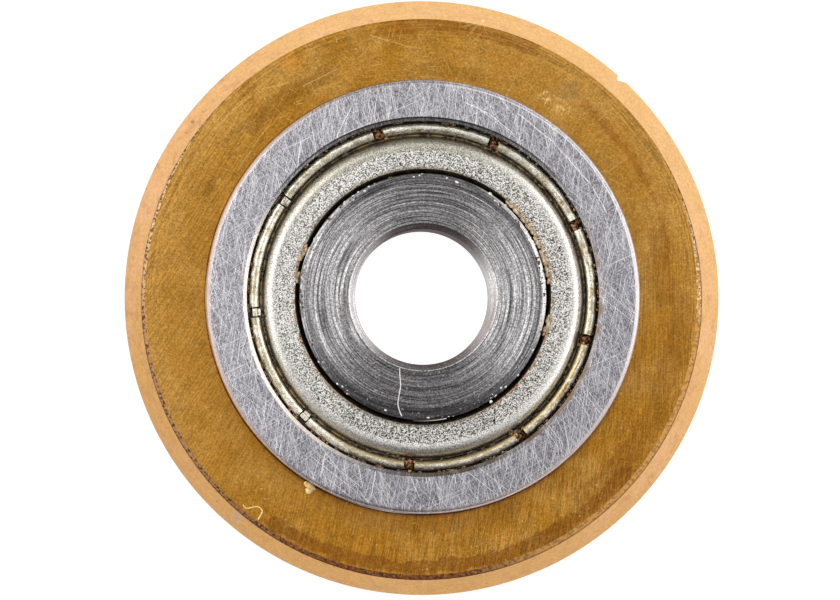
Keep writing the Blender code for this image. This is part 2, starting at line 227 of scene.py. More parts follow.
def bent_sheet(corners, bends, thickness):
    """The closed outline of a sheet bent at the corners of its middle line."""
    left_turns = []
    for before, corner, after in zip(corners, corners[1:], corners[2:]):
        into = Vector(corner) - Vector(before)
        out_of = Vector(after) - Vector(corner)
        left_turns.append(math.copysign(1, into.x * out_of.y - into.y * out_of.x))
    sides = []
    for shift in (thickness / 2, -thickness / 2):
        radii = [max(bend - left * shift, 0.0) for bend, left in zip(bends, left_turns)]
        sides.append(rounded(offset(corners, shift), radii))
    return sides[0] + sides[1][::-1]


def both_halves(outline_above):
    below = [(radius, -height) for radius, height in reversed(outline_above)]
    closed = without_repeats(outline_above + below)
    return closed[:-1] if math.dist(closed[0], closed[-1]) < SAME_POINT else closed


def turned(outline, steps=FINE_STEPS):
    """A closed outline of (radius, height) points turned once round Z."""
    shape = bmesh.new()
    corners = [shape.verts.new((radius, 0.0, height)) for radius, height in outline]
    edges = [shape.edges.new((a, b)) for a, b in zip(corners, corners[1:] + corners[:1])]
    bmesh.ops.spin(
        shape,
        geom=corners + edges,
        cent=(0, 0, 0),
        axis=(0, 0, 1),
        angle=math.tau,
        steps=steps,
        use_merge=True,
    )
    return shape


def held(name, data):
    """A new object in the scene that holds the data."""
    piece = bpy.data.objects.new(name, data)
    bpy.context.scene.collection.objects.link(piece)
    return piece


def applied(piece):
    """The piece's mesh with its modifiers, or its curve's thickness, made final."""
    bpy.context.view_layer.update()
    return bpy.data.meshes.new_from_object(piece.evaluated_get(bpy.context.evaluated_depsgraph_get()))


def made_piece(name, shape, finishes, crease=CREASE):
    """An object from a bmesh drawn in millimetres, closed, facing outwards and smooth between creases."""
    bmesh.ops.scale(shape, vec=(MM, MM, MM), verts=shape.verts)
    bmesh.ops.recalc_face_normals(shape, faces=shape.faces)
    mesh = bpy.data.meshes.new(name)
    shape.to_mesh(mesh)
    shape.free()
    for finish in finishes:
        mesh.materials.append(finish)
    mesh.shade_smooth()
    mesh.set_sharp_from_angle(angle=math.radians(crease))
    return held(name, mesh)


def cut_away(piece, tool, crease=CREASE):
    """Cuts the tool from the piece for good, and throws the tool away."""
    step = piece.modifiers.new("cut", "BOOLEAN")
    step.operation = "DIFFERENCE"
    step.object = tool
    step.solver = "EXACT"
    cut = applied(piece)
    piece.modifiers.clear()
    piece.data = cut
    cut.set_sharp_from_angle(angle=math.radians(crease))
    bpy.data.objects.remove(tool)


def block(shape, low, high, turn):
    """Adds a box between two (radial, sideways, height) corners, turned round Z by degrees."""
    middle = (Vector(low) + Vector(high)) / 2
    size = Vector(high) - Vector(low)
    place = Matrix.Rotation(math.radians(turn), 4, "Z") @ Matrix.Translation(middle)
    bmesh.ops.create_cube(shape, size=1.0, matrix=place @ Matrix.Diagonal((*size, 1.0)))


def smoothstep(low, high, value):
    share = min(max((value - low) / (high - low), 0.0), 1.0)
    return share * share * (3 - 2 * share)


# Cutting ring


def land_share(x, y):
    """How wide the rough land is at a place round the ring, from 0 to 1."""
    turn = math.atan2(y, x)
    from_middle = math.cos(turn - math.radians(LAND_MIDDLE))
    from_widest = math.cos(turn - math.radians(LAND_WIDEST))
    return smoothstep(*LAND_ENDS, from_middle) * (0.8 + 0.2 * from_widest)


def grind_land(shape):
    """Moves the flat's rim off centre and tips the land beside it."""
    for vertex in shape.verts:
        radius = vertex.co.xy.length
        if abs(abs(vertex.co.z) - WHEEL_HALF) > SAME_POINT or radius < BEVEL_LINE - 2 * LAND_START:
            continue
        share = land_share(vertex.co.x, vertex.co.y)
        if radius < BEVEL_LINE - LAND_START / 2:
            vertex.co.xy *= (radius - LAND_WIDTH * share) / radius
        else:
            vertex.co.z -= math.copysign(LAND_DROP * share, vertex.co.z)
        vertex.co.xy += Vector(BEVEL_SHIFT)


def edge_nick(finish):
    """The wedge that takes a chip out of the edge, steep on one side and shallow on the other."""
    outside = WHEEL_TIP + NICK_DEPTH
    corners = [
        (WHEEL_TIP - NICK_DEPTH * 0.85, 0.2 * NICK_WIDTH),
        (WHEEL_TIP - NICK_DEPTH * 0.5, 0.3 * NICK_WIDTH),
        (outside, 0.36 * NICK_WIDTH),
        (outside, -1.6 * NICK_WIDTH),
        (WHEEL_TIP - NICK_DEPTH * 0.35, -0.5 * NICK_WIDTH),
        (WHEEL_TIP - NICK_DEPTH * 0.95, 0.02 * NICK_WIDTH),
    ]
    shape = bmesh.new()
    base = [shape.verts.new((x, y, -WHEEL_HALF * 2)) for x, y in corners]
    grown = bmesh.ops.extrude_face_region(shape, geom=[shape.faces.new(base)])
    top = [item for item in grown["geom"] if isinstance(item, bmesh.types.BMVert)]
    bmesh.ops.translate(shape, vec=(0, 0, WHEEL_HALF * 4), verts=top)
    turn = Matrix.Rotation(math.radians(NICK_ANGLE), 3, "Z")
    bmesh.ops.rotate(shape, matrix=turn, verts=shape.verts)
    return made_piece("edge_nick_tool", shape, [finish])


def cutting_ring(flat, bevel, land):
    above = [
        (WHEEL_TIP, 0.0),
        (BEVEL_LINE, WHEEL_HALF),
        (BEVEL_LINE - LAND_START, WHEEL_HALF),
        (WHEEL_BORE + SEAM_CHAMFER, WHEEL_HALF),
        (WHEEL_BORE, WHEEL_HALF - SEAM_CHAMFER),
    ]
    shape = turned(both_halves(above))
    grind_land(shape)
    shape.normal_update()
    for face in shape.faces:
        middle = (face.calc_center_median().xy - Vector(BEVEL_SHIFT)).length
        if middle > BEVEL_LINE and abs(face.normal.z) < BEVEL_TILT:
            face.material_index = 1
        elif middle > BEVEL_LINE - 0.6 * LAND_WIDTH and abs(face.normal.z) < LAND_TILT:
            face.material_index = 2
    ring = made_piece("coated_ring", shape, [flat, bevel, land], EDGE_CREASE)
    cut_away(ring, edge_nick(bevel), EDGE_CREASE)
    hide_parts("cutting_wheel")
    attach(ring, "wheel_side")


# Bearing


def groove_above(floor, inward):
    """The half of a ball groove above the middle, from its floor to its shoulder."""
    centre = floor - inward * GROOVE_RADIUS
    depth_angle = math.acos(1 - GROOVE_DEPTH / GROOVE_RADIUS)
    turns = [depth_angle * i / GROOVE_STEPS for i in range(GROOVE_STEPS + 1)]
    return [(centre + inward * GROOVE_RADIUS * math.cos(a), GROOVE_RADIUS * math.sin(a)) for a in turns]


def outer_ring(finish):
    corner = (OUTER_RADIUS - OUTER_CORNER, HALF_WIDTH - OUTER_CORNER)
    lip = [
        (OUTER_SHOULDER, SEAT_LEVEL),
        (UNDERCUT_RADIUS, SEAT_LEVEL),
        (UNDERCUT_RADIUS, LIP_BOTTOM - UNDERCUT_SLOPE),
        (LIP_RADIUS, LIP_BOTTOM),
        (LIP_RADIUS, LIP_TOP),
        (LIP_EDGE, HALF_WIDTH),
    ]
    face = arc(corner, OUTER_CORNER, 90, 0, steps=8)
    outline = both_halves(groove_above(OUTER_GROOVE_FLOOR, 1) + lip + face)
    ring = made_piece("ground_outer_ring", turned(outline), [finish])
    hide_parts("outer_ring")
    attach(ring, "wheel_side")


def inner_ring(finish):
    corner = (INNER_SHOULDER - SHOULDER_CORNER, HALF_WIDTH - SHOULDER_CORNER)
    bore = [
        (BORE_RADIUS + BORE_CORNER, HALF_WIDTH),
        (BORE_RADIUS, HALF_WIDTH - BORE_CORNER),
    ]
    face = arc(corner, SHOULDER_CORNER, 0, 90, steps=10)
    outline = both_halves(groove_above(INNER_GROOVE_FLOOR, -1) + face + bore)
    ring = made_piece("turned_inner_ring", turned(outline), [finish])
    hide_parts("inner_ring")
    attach(ring, "axle_side")


def shield_outline():
    corners = [
        (SHIELD_INNER, FLAT_LEVEL),
        (SHIELD_WALL, FLAT_LEVEL),
        (SHIELD_WALL, CHANNEL_LEVEL),
        (BEAD_INNER, CHANNEL_LEVEL),
        (BEAD_INNER, BEAD_LEVEL),
        (BEAD_OUTER, BEAD_LEVEL),
        (BEAD_OUTER, CHANNEL_LEVEL),
        (UNDERCUT_RADIUS - SEAT_GAP, CHANNEL_LEVEL),
    ]
    bead_bend = (BEAD_HOLLOW + SHIELD_SHEET) / 2
    bends = [
        SHOULDER_ROUND - HALF_SHEET,
        WALL_BEND + HALF_SHEET,
        (CHANNEL_WIDTH + SHIELD_SHEET) / 2,
        bead_bend,
        bead_bend,
        FLANGE_BEND + HALF_SHEET,
    ]
    return bent_sheet(corners, bends, SHIELD_SHEET)


def notch_angle(number):
    return NOTCH_START + number * FULL_TURN / NOTCH_COUNT


def crimped_shield(name, node, side, finish):
    outline = [(radius, side * height) for radius, height in shield_outline()]
    shield = made_piece(name, turned(outline), [finish])
    cutter = bmesh.new()
    channel_middle = BEAD_INNER - HALF_SHEET - CHANNEL_WIDTH / 2
    low = (channel_middle, -NOTCH_WIDTH / 2, 0.0)
    high = (OUTER_RADIUS, NOTCH_WIDTH / 2, side * HALF_WIDTH * 2)
    for number in range(NOTCH_COUNT):
        block(cutter, low, high, notch_angle(number))
    cut_away(shield, made_piece(name + "_tool", cutter, [finish]))
    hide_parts(node)
    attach(shield, "wheel_side")


def bearing_balls(finish):
    """A round ball in the place of each faceted one."""
    for number in range(1, BALL_COUNT + 1):
        node = f"ball_{number}"
        low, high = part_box(node)
        shape = bmesh.new()
        bmesh.ops.create_uvsphere(shape, u_segments=48, v_segments=24, radius=BALL_RADIUS)
        middle = (Vector(low) + Vector(high)) / 2 / MM
        bmesh.ops.translate(shape, vec=middle, verts=shape.verts)
        ball = made_piece(f"polished_ball_{number}", shape, [finish])
        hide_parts(node)
        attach(ball, f"ball_{number}_body")


# Finishes


class Wiring:
    """The nodes of a material or the world, and the few kinds that its patterns are wired from."""

    def __init__(self, owner):
        owner.use_nodes = True
        self.nodes = owner.node_tree.nodes
        self.links = owner.node_tree.links

    def feed(self, socket, value):
        if isinstance(value, bpy.types.NodeSocket):
            self.links.new(value, socket)
        else:
            socket.default_value = value

    def math(self, operation, first, second=0.0, third=0.0):
        node = self.nodes.new("ShaderNodeMath")
        node.operation = operation
        for socket, value in zip(node.inputs, (first, second, third)):
            self.feed(socket, value)
        return node.outputs[0]

    def chained(self, operation, first, *others):
        for other in others:
            first = self.math(operation, first, other)
        return first

    def times(self, *factors):
        return self.chained("MULTIPLY", *factors)

    def plus(self, *parts):
        return self.chained("ADD", *parts)

    def minus(self, first, second):
        return self.math("SUBTRACT", first, second)

    def strongest(self, *values):
        return self.chained("MAXIMUM", *values)

    def scaled(self, value, factor, base):
        """The value times the factor, added to the base."""
        return self.math("MULTIPLY_ADD", value, factor, base)

    def between(self, value, low, high, to_low=0.0, to_high=1.0, curve="SMOOTHSTEP"):
        """A rise from to_low to to_high while the value goes from low to high."""
        node = self.nodes.new("ShaderNodeMapRange")
        node.interpolation_type = curve
        for socket, given in zip(node.inputs, (value, low, high, to_low, to_high)):
            self.feed(socket, given)
        return node.outputs[0]

    def parts_of(self, vector):
        split = self.nodes.new("ShaderNodeSeparateXYZ")
        self.feed(split.inputs[0], vector)
        return split.outputs[:]


class Finish(Wiring):
    """A finish with a pattern in millimetres: its colour is laid on tint by tint, and then it is done."""

    def __init__(self, name, metallic=1.0):
        self.material = bpy.data.materials.new(name)
        super().__init__(self.material)
        self.colour = None
        self.shader = self.nodes["Principled BSDF"]
        self.shader.inputs["Metallic"].default_value = metallic
        coordinates = self.nodes.new("ShaderNodeTexCoord")
        self.place = self.mapped(coordinates.outputs["Object"], scale=(1 / MM,) * 3)
        self.x, self.y, self.height = self.parts_of(self.place)
        self.radius = self.distance(self.x, self.y)
        self.turn = self.times(self.math("ARCTAN2", self.y, self.x), math.degrees(1))

    def distance(self, across, along):
        return self.math("SQRT", self.plus(self.times(across, across), self.times(along, along)))

    def away_from(self, x, y):
        """The distance from a place on the face."""
        return self.distance(self.minus(self.x, x), self.minus(self.y, y))

    def mapped(self, vector, scale=(1, 1, 1), turn=0.0, shift=(0, 0, 0)):
        """The vector moved back by shift, turned round Z by degrees, and then scaled."""
        node = self.nodes.new("ShaderNodeMapping")
        node.vector_type = "TEXTURE"
        self.feed(node.inputs["Vector"], vector)
        node.inputs["Location"].default_value = shift
        node.inputs["Rotation"].default_value = (0, 0, math.radians(-turn))
        node.inputs["Scale"].default_value = [1 / part if part else 0.0 for part in scale]
        return node.outputs[0]

    def shifted(self, x, y):
        return self.mapped(self.place, shift=(x, y, 0))

    def size_of(self, value):
        return self.math("ABSOLUTE", value)

    def fading(self, value, low, high):
        """A smooth fall from 1 to 0 while the value goes from low to high."""
        return self.between(value, low, high, 1.0, 0.0)

    def outside(self, low, high):
        """0 nearer the axis than low, and 1 past high."""
        return self.between(self.radius, low, high)

    def within(self, low, high):
        """1 nearer the axis than low, and 0 past high."""
        return self.fading(self.radius, low, high)

    def band(self, value, low, high, soft):
        """1 from low to high, with a soft end outside each."""
        return self.times(self.between(value, low - soft, low), self.fading(value, high, high + soft))

    def cosine_from(self, towards):
        """The cosine of the angle round Z from a direction in degrees."""
        return self.math("COSINE", self.times(self.minus(self.turn, towards), math.radians(1)))

    def facing(self, towards, low, high):
        """1 in the directions round Z near towards; low and high are cosines of the angle from it."""
        return self.between(self.cosine_from(towards), low, high)

    def noise(self, scale, detail=2.0, roughness=0.5, at=None):
        node = self.nodes.new("ShaderNodeTexNoise")
        self.feed(node.inputs["Vector"], self.place if at is None else at)
        node.inputs["Scale"].default_value = scale
        node.inputs["Detail"].default_value = detail
        node.inputs["Roughness"].default_value = roughness
        return node.outputs["Fac"]

    def ring_noise(self, along, across, detail, roughness, seed=0.0):
        """Noise that runs round the axis, for marks that follow the turning."""
        ring = self.nodes.new("ShaderNodeCombineXYZ")
        for socket, side in zip(ring.inputs, (self.x, self.y)):
            self.feed(socket, self.times(self.math("DIVIDE", side, self.radius), along))
        self.feed(ring.inputs[2], self.scaled(self.plus(self.radius, self.height), across, seed))
        return self.noise(1.0, detail, roughness, ring.outputs[0])

    def blotches(self, scale, low, high, seed, detail=3.0):
        return self.between(self.noise(scale, detail, 0.6, self.shifted(seed, seed * 0.7)), low, high)

    def bent(self, bend):
        """The place pushed aside by a slow wave, which bends what is drawn there."""
        wave = self.nodes.new("ShaderNodeTexNoise")
        wave.inputs["Scale"].default_value = 0.35
        wave.inputs["Detail"].default_value = 0.0
        self.feed(wave.inputs["Vector"], self.place)
        push = self.nodes.new("ShaderNodeVectorMath")
        push.operation = "MULTIPLY_ADD"
        self.feed(push.inputs[0], wave.outputs["Color"])
        push.inputs[1].default_value = (bend, bend, 0)
        self.feed(push.inputs[2], self.place)
        return push.outputs[0]

    def scratches(self, turn, length, width, share, seed, bend=0.0):
        """Thin straight marks of about the same length, which lie along one direction."""
        place = self.bent(bend) if bend else self.place
        laid = self.mapped(place, scale=(1, 1, 0), turn=-turn, shift=(seed * 3.1, seed * 1.7, 0))
        spacing = width * 9
        stretched = self.mapped(laid, scale=(1 / length, 1 / spacing, 0))
        cells = self.nodes.new("ShaderNodeTexVoronoi")
        cells.voronoi_dimensions = "2D"
        cells.inputs["Scale"].default_value = 1.0
        self.feed(cells.inputs["Vector"], stretched)
        here = self.parts_of(stretched)
        centre = self.parts_of(cells.outputs["Position"])
        ahead, aside = [self.size_of(self.minus(here[i], centre[i])) for i in (0, 1)]
        thickness = self.between(ahead, 0.1, 0.5, width / spacing / 2, 0.0)
        line = self.fading(self.minus(aside, thickness), 0.0, 0.03)
        pick = self.nodes.new("ShaderNodeSeparateColor")
        self.feed(pick.inputs[0], cells.outputs["Color"])
        chosen = self.math("LESS_THAN", pick.outputs[0], share)
        return self.times(line, chosen, self.scaled(pick.outputs[1], 0.7, 0.3))

    def streaks(self, turn, across, along, low, high, seed):
        """Hair-fine marks along one direction: across and along are how many there are to a millimetre."""
        shift = (seed * 1.3, seed * 2.1, 0)
        laid = self.mapped(self.place, scale=(along, across, 0), turn=-turn, shift=shift)
        return self.between(self.noise(1.0, 1.0, 0.5, laid), low, high)

    def mark(self, start, end):
        """One thin scratch from a place to another, which fades at its ends."""
        run = Vector(end) - Vector(start)
        middle = (Vector(start) + Vector(end)) / 2
        turn = math.degrees(math.atan2(run.y, run.x))
        ahead, aside, _ = self.parts_of(self.mapped(self.place, turn=-turn, shift=(*middle, 0)))
        aside = self.scaled(self.noise(1.6, 1.0), 0.1, self.minus(aside, 0.05))
        line = self.fading(self.size_of(aside), SCRATCH_WIDTH * 0.25, SCRATCH_WIDTH * 0.6)
        half = run.length / 2
        return self.times(line, self.fading(self.size_of(ahead), half * 0.8, half))

    def trails(self, rows, height):
        """A scratch through the pixels of each row, on the face at a height."""
        marks = []
        for trail in rows:
            places = [on_face(column, row, height) for column, row in trail]
            marks += [self.mark(start, end) for start, end in zip(places, places[1:])]
        return self.strongest(*marks)

    def spot(self, x, y, size, ragged):
        """A small uneven spot at a place on the face."""
        rough = self.scaled(self.noise(2.5 / size, 2.0), size * ragged, -size * ragged / 2)
        return self.fading(self.plus(self.away_from(x, y), rough), size * 0.6, size)

    def patch(self, start, end, inside, outside):
        """A stain with an uneven edge between two angles and two radii."""
        around = self.math("ARCCOSINE", self.cosine_from((start + end) / 2))
        middle = (inside + outside) / 2
        wander = self.noise(1.3, 5.0, 0.7, self.shifted(start, end))
        sideways = self.scaled(around, middle, self.scaled(wander, 2.4, -1.2))
        out = self.scaled(wander, 0.9, self.minus(self.size_of(self.minus(self.radius, middle)), 0.45))
        half_turn = math.radians(end - start) / 2 * middle
        half_width = (outside - inside) / 2
        along = self.fading(sideways, half_turn - 0.4, half_turn)
        return self.times(along, self.fading(out, half_width - 0.1, half_width))

    def mix(self, share, first, second):
        node = self.nodes.new("ShaderNodeMix")
        node.data_type = "RGBA"
        self.feed(node.inputs[0], share)
        for socket, colour in zip(node.inputs[6:], (first, second)):
            self.feed(socket, colour if isinstance(colour, bpy.types.NodeSocket) else (*colour, 1.0))
        return node.outputs[2]

    def brighter(self, colour, factor):
        """The colour times a factor that varies over the surface."""
        node = self.nodes.new("ShaderNodeVectorMath")
        node.operation = "SCALE"
        self.feed(node.inputs[0], colour)
        self.feed(node.inputs["Scale"], factor)
        return node.outputs[0]

    def tint(self, tint, *shares):
        """Lays a tint over the colour, as strong as the product of its shares."""
        self.colour = self.mix(self.times(*shares), self.colour, tint)

    def stain(self, rows, height, ragged):
        """Lays a spot at each row's pixel, with the row's size, share and tint."""
        for column, row, size, share, tint in rows:
            self.tint(tint, self.spot(*on_face(column, row, height), size, ragged), share)

    def bump(self, height, depth, strength):
        """Raises the surface by the height times a depth in millimetres."""
        node = self.nodes.new("ShaderNodeBump")
        node.inputs["Strength"].default_value = strength
        node.inputs["Distance"].default_value = depth * MM
        self.feed(node.inputs["Height"], height)
        self.feed(self.shader.inputs["Normal"], node.outputs[0])

    def done(self, roughness):
        self.feed(self.shader.inputs["Base Color"], self.colour)
        self.feed(self.shader.inputs["Roughness"], roughness)
        return self.material


FLAT_HAIRLINE = 0.014
RING_HAIRLINE = 0.015
SCRATCH_WIDTH = 0.04

# The coating's colours, on the flat, the bevels and the land
TAN_GOLD = (0.47, 0.218, 0.028)
PALE_GOLD = (0.57, 0.305, 0.07)
BROWN_GOLD = (0.3, 0.1, 0.012)
DARK_GOLD = (0.24, 0.08, 0.012)
OLIVE_GOLD = (0.25, 0.115, 0.014)
DULL_GOLD = (0.4, 0.17, 0.014)
BARE_GOLD = (0.9, 0.62, 0.24)
SEAM_SHADOW = (0.14, 0.055, 0.02)
FLAT_PIT = (0.15, 0.055, 0.01)
SAND_GOLD = (0.72, 0.4, 0.145)
PINK_GOLD = (0.78, 0.44, 0.21)
BROWN_SAND = (0.6, 0.3, 0.12)
SHADED_SAND = (0.51, 0.255, 0.05)
LIT_SAND = (0.86, 0.52, 0.2)
BEVEL_PIT = (0.25, 0.12, 0.06)
SMUDGE = (0.4, 0.21, 0.08)
LAND_SAND = (0.66, 0.42, 0.2)
LAND_GOLD = (0.68, 0.35, 0.1)
LAND_RED = (0.28, 0.09, 0.025)
LAND_BROWN = (0.36, 0.17, 0.06)
CHATTER_BROWN = (0.07, 0.035, 0.025)
CHIPPED_PALE = (0.88, 0.74, 0.55)
LAND_EDGE_SHADE = (0.12, 0.05, 0.03)
REDDISH = (0.4, 0.1, 0.03)
DRIED_DROP = (0.12, 0.05, 0.02)

# Stains on the flat: from and to degrees round from +X, from and to millimetres out, share and colour
FLAT_PATCHES = (
    (64, 101, 9.75, 10.45, 0.6, BROWN_GOLD),
    (103, 116, 9.2, 10.1, 0.35, OLIVE_GOLD),
    (109, 138, 8.6, 9.3, 0.55, OLIVE_GOLD),
    (147, 158, 8.6, 9.15, 0.5, OLIVE_GOLD),
    (75, 94, 8.2, 8.75, 0.4, OLIVE_GOLD),
    (8, 50, 9.12, 9.45, 0.5, BROWN_GOLD),
    (-5, 19, 8.6, 9.4, 0.35, BROWN_GOLD),
    (232, 322, 9.65, 10.25, 0.75, DARK_GOLD),
    (308, 362, 9.1, 10.0, 0.35, DARK_GOLD),
    (246, 300, 8.1, 8.8, 0.25, DARK_GOLD),
)
# Spots in the photograph: column and row in pixels, size in millimetres, share and colour
FLAT_STAINS = (
    (290, 62, 0.45, 0.4, (0.75, 0.32, 0.06)),
    (570, 91, 0.5, 0.25, (0.3, 0.2, 0.1)),
    (243, 514, 0.14, 0.7, DRIED_DROP),
    (259, 527, 0.1, 0.7, DRIED_DROP),
)
BEVEL_STAINS = (
    (193, 122, 0.09, 0.6, REDDISH),
    (186, 133, 0.06, 0.5, REDDISH),
    (203, 112, 0.05, 0.5, REDDISH),
    (237, 517, 0.3, 0.3, (0.35, 0.3, 0.3)),
    (483, 21, 0.07, 0.6, (1.0, 0.85, 0.45)),
)
# Scratches in the photograph, each through a few pixels
FLAT_SCRATCHES = (
    ((369, 34.6), (390, 41), (413, 48.2)),
    ((264, 88.2), (276, 86), (290, 81.8)),
    ((301, 86.6), (338, 69)),
    ((296, 101.8), (302, 99.4)),
    ((213, 131.4), (230, 113), (253, 94.6)),
    ((237, 171.4), (251, 150), (270, 123.4)),
    ((336, 36), (337, 43)),
    ((393, 79.4), (398, 79.9)),
    ((606, 117), (609, 118.5)),
    ((596, 149), (598, 153)),
)
RING_SCRATCHES = (
    ((464, 102), (489, 113), (516, 136)),
    ((516, 111), (556, 145), (592, 185), (608, 215)),
    ((352, 105), (335, 140)),
    ((275, 172), (284, 205)),
    ((326, 452), (320, 478)),
    ((376, 470), (370, 500)),
    ((500, 470), (497, 440)),
)


def coated_flat():
    """The nitride coating on the flat: stained gold with fine streaks from grinding, and painted light and
    shade round the wheel.
    """
    f = Finish("gold_coating_flat")
    broad = f.noise(1.1, 4.0, 0.65)
    mottle = f.noise(5.0, 4.0, 0.75)
    grain = f.noise(16.0, 2.0, 0.6)
    f.colour = f.mix(f.blotches(0.6, 0.42, 0.7, seed=3, detail=5.0), TAN_GOLD, PALE_GOLD)
    # Painted light: the flat paler towards 38° to 45° and 172° to 179°; painted shade: duller towards 280°,
    # with a painted shadow along the seam by the ring.
    for towards in (38, 172):
        f.tint(PALE_GOLD, f.facing(towards, 0.55, 0.95), f.outside(9.2, 10.0), 0.6)
    for towards in (45, 179):
        f.tint(PALE_GOLD, f.facing(towards, 0.6, 0.95), 0.3)
    low = f.facing(280, 0.2, 0.9)
    f.tint(DULL_GOLD, low, 0.3)
    f.tint(SEAM_SHADOW, f.within(OUTER_RADIUS + 0.03, OUTER_RADIUS + 0.22), low, 0.6)
    for start, end, inside, outside, share, tint in FLAT_PATCHES:
        uneven = f.between(mottle, 0.35, 0.6, 0.5 * share, share)
        f.tint(tint, f.patch(start, end, inside, outside), uneven)
    f.stain(FLAT_STAINS, WHEEL_HALF, ragged=1.5)

    shade = f.plus(
        f.between(mottle, 0.32, 0.68, 0.93, 1.08),
        f.between(grain, 0.32, 0.68, -0.19, 0.19),
        f.between(broad, 0.3, 0.7, -0.07, 0.07),
    )
    ring_lines = f.between(f.ring_noise(4.0, 19, 1.0, 0.5, seed=2.0), 0.34, 0.66, -0.2, 0.2)
    rim = f.times(f.between(f.radius, 9.4, 10.2, 0.15, 1.0), f.facing(80, -0.6, 0.2))
    shade = f.scaled(ring_lines, rim, shade)
    right = f.facing(320, 0.1, 0.8)
    far_left = f.facing(175, 0.3, 0.9)
    for turn, across, where, swing in ((90, 18, right, 0.14), (58, 16, far_left, 0.13), (76, 18, low, 0.16)):
        brushed = f.streaks(turn, across, 0.8, 0.36, 0.64, seed=turn)
        shade = f.scaled(f.scaled(brushed, 2 * swing, -swing), where, shade)
    f.colour = f.brighter(f.colour, shade)

    hairlines = [f.scratches(62, 0.8, FLAT_HAIRLINE, 0.06, seed=2, bend=1.5)]
    for turn, length in ((38, 0.9), (128, 0.6), (-25, 0.5), (10, 0.5)):
        hairlines.append(f.scratches(turn, length, FLAT_HAIRLINE, 0.07, seed=turn / 5, bend=1.5))
    hairlines = f.times(f.strongest(*hairlines), f.scaled(f.facing(85, 0.1, 0.7), 0.45, 0.12))
    flecks = f.times(f.between(f.noise(8.0, 2.0, 0.6), 0.68, 0.74), 0.5)
    long_marks = f.times(f.trails(FLAT_SCRATCHES, WHEEL_HALF), 0.45)
    curls = f.between(f.noise(1.0, 3.0, 0.7, f.mapped(f.place, scale=(9, 5, 1), turn=20)), 0.52, 0.6)
    cluster = f.times(f.band(f.radius, 8.5, 8.85, 0.15), f.facing(56, 0.996, 0.999), curls)
    f.tint(BARE_GOLD, f.strongest(hairlines, flecks, long_marks, cluster))
    f.tint(FLAT_PIT, f.between(f.noise(8.5, 2.0, 0.6, f.shifted(3, 8)), 0.67, 0.73), 0.5)
    f.bump(f.plus(mottle, grain), 0.004, 0.6)
    return f.done(f.between(grain, 0.3, 0.7, 0.3, 0.44))


def coated_bevel():
    """The two ground bevels of the cutting edge, paler and pinker than the flat, with painted light and shade
    round the wheel.
    """
    f = Finish("gold_coating_bevel")
    grain = f.noise(9.0, 4.0, 0.7)
    low = f.facing(248, -0.2, 0.9)
    f.colour = f.mix(f.blotches(0.6, 0.4, 0.7, seed=5), SAND_GOLD, PINK_GOLD)
    f.tint(BROWN_SAND, f.blotches(1.8, 0.5, 0.72, seed=9))
    # Painted shade: the bevel darker and yellower towards 248°; painted light: paler towards 60°.
    f.tint(SHADED_SAND, low, 0.7)
    f.tint(LIT_SAND, f.facing(60, 0.0, 0.9), 0.5)
    f.stain(BEVEL_STAINS, WHEEL_HALF / 2, ragged=1.0)
    f.tint(BEVEL_PIT, f.between(f.noise(5.5, 2.0, 0.6), 0.66, 0.72), f.scaled(low, 0.5, 0.12))
    f.colour = f.brighter(f.colour, f.between(grain, 0.32, 0.68, 0.86, 1.1))
    f.tint(SMUDGE, f.blotches(2.6, 0.45, 0.65, seed=14, detail=4.0), f.facing(225, 0.2, 0.9), 0.3)
    f.bump(grain, 0.003, 0.5)
    return f.done(0.3)


def coated_land():
    """The narrow land beside the bevel, chattered by a coarser wheel and stained."""
    f = Finish("gold_coating_land")
    dots = f.noise(7.5, 2.0, 0.6)
    golden = f.facing(330, 0.55, 0.85)
    f.colour = f.mix(golden, LAND_SAND, LAND_GOLD)
    f.tint(LAND_RED, f.facing(255, 0.75, 0.95))
    f.tint(LAND_BROWN, f.facing(212, 0.75, 0.95), 0.75)
    f.tint(CHATTER_BROWN, f.between(dots, 0.5, 0.56), f.scaled(golden, -0.45, 0.85))
    pale = f.between(f.noise(10.0, 2.0, 0.6), 0.55, 0.6)
    f.tint(CHIPPED_PALE, pale, f.scaled(f.facing(8, 0.97, 0.99), 0.85, 0.15))
    # A painted shade line along the land's edge next to the bevel.
    f.tint(LAND_EDGE_SHADE, f.between(f.away_from(*BEVEL_SHIFT), BEVEL_LINE - 0.055, BEVEL_LINE - 0.03), 0.55)
    f.bump(dots, 0.01, 0.8)
    return f.done(0.4)


# The outer ring's colours
GROUND_GREY = (0.39, 0.38, 0.415)
DARK_STREAK = (0.13, 0.125, 0.14)
PALE_STREAK = (0.76, 0.75, 0.79)
WHITE_SCRATCH = (0.95, 0.94, 0.97)
SIDE_GREY = (0.45, 0.44, 0.45)
LIP_CHAMFER_SHADE = (0.06, 0.055, 0.055)
LIP_CHAMFER_HIGHLIGHT = (0.93, 0.86, 0.77)
LIP_GRIME = (0.2, 0.14, 0.09)
UNDERCUT_SHADE = (0.035, 0.022, 0.014)

# Scratches that cross each other: direction in degrees, length in millimetres and share
CROSSED_SCRATCHES = (
    (84, 3.0, 0.42),
    (101, 2.2, 0.36),
    (72, 1.8, 0.3),
    (24, 2.4, 0.14),
    (127, 2.2, 0.16),
    (-66, 1.6, 0.26),
)
# Painted reflections and painted shade on the ring's rounded corner: direction in degrees, share and colour
CORNER_REFLECTIONS_AND_SHADE = (
    (175, 0.65, (0.56, 0.42, 0.34)),
    (250, 0.5, (0.5, 0.4, 0.4)),
    (322, 0.7, (0.85, 0.72, 0.7)),
    (5, 0.4, (0.3, 0.28, 0.27)),
    (135, 0.4, (0.3, 0.25, 0.23)),
)
# Thin painted highlight lines and one painted shade line on it: millimetres in from the ring's side,
# direction in degrees, share and colour
CORNER_HIGHLIGHT_AND_SHADE_LINES = (
    (0.11, 180, 0.5, (0.3, 0.28, 0.3)),
    (0.16, 35, 0.6, (0.95, 0.9, 0.9)),
    (0.06, 35, 0.45, (0.9, 0.78, 0.72)),
)


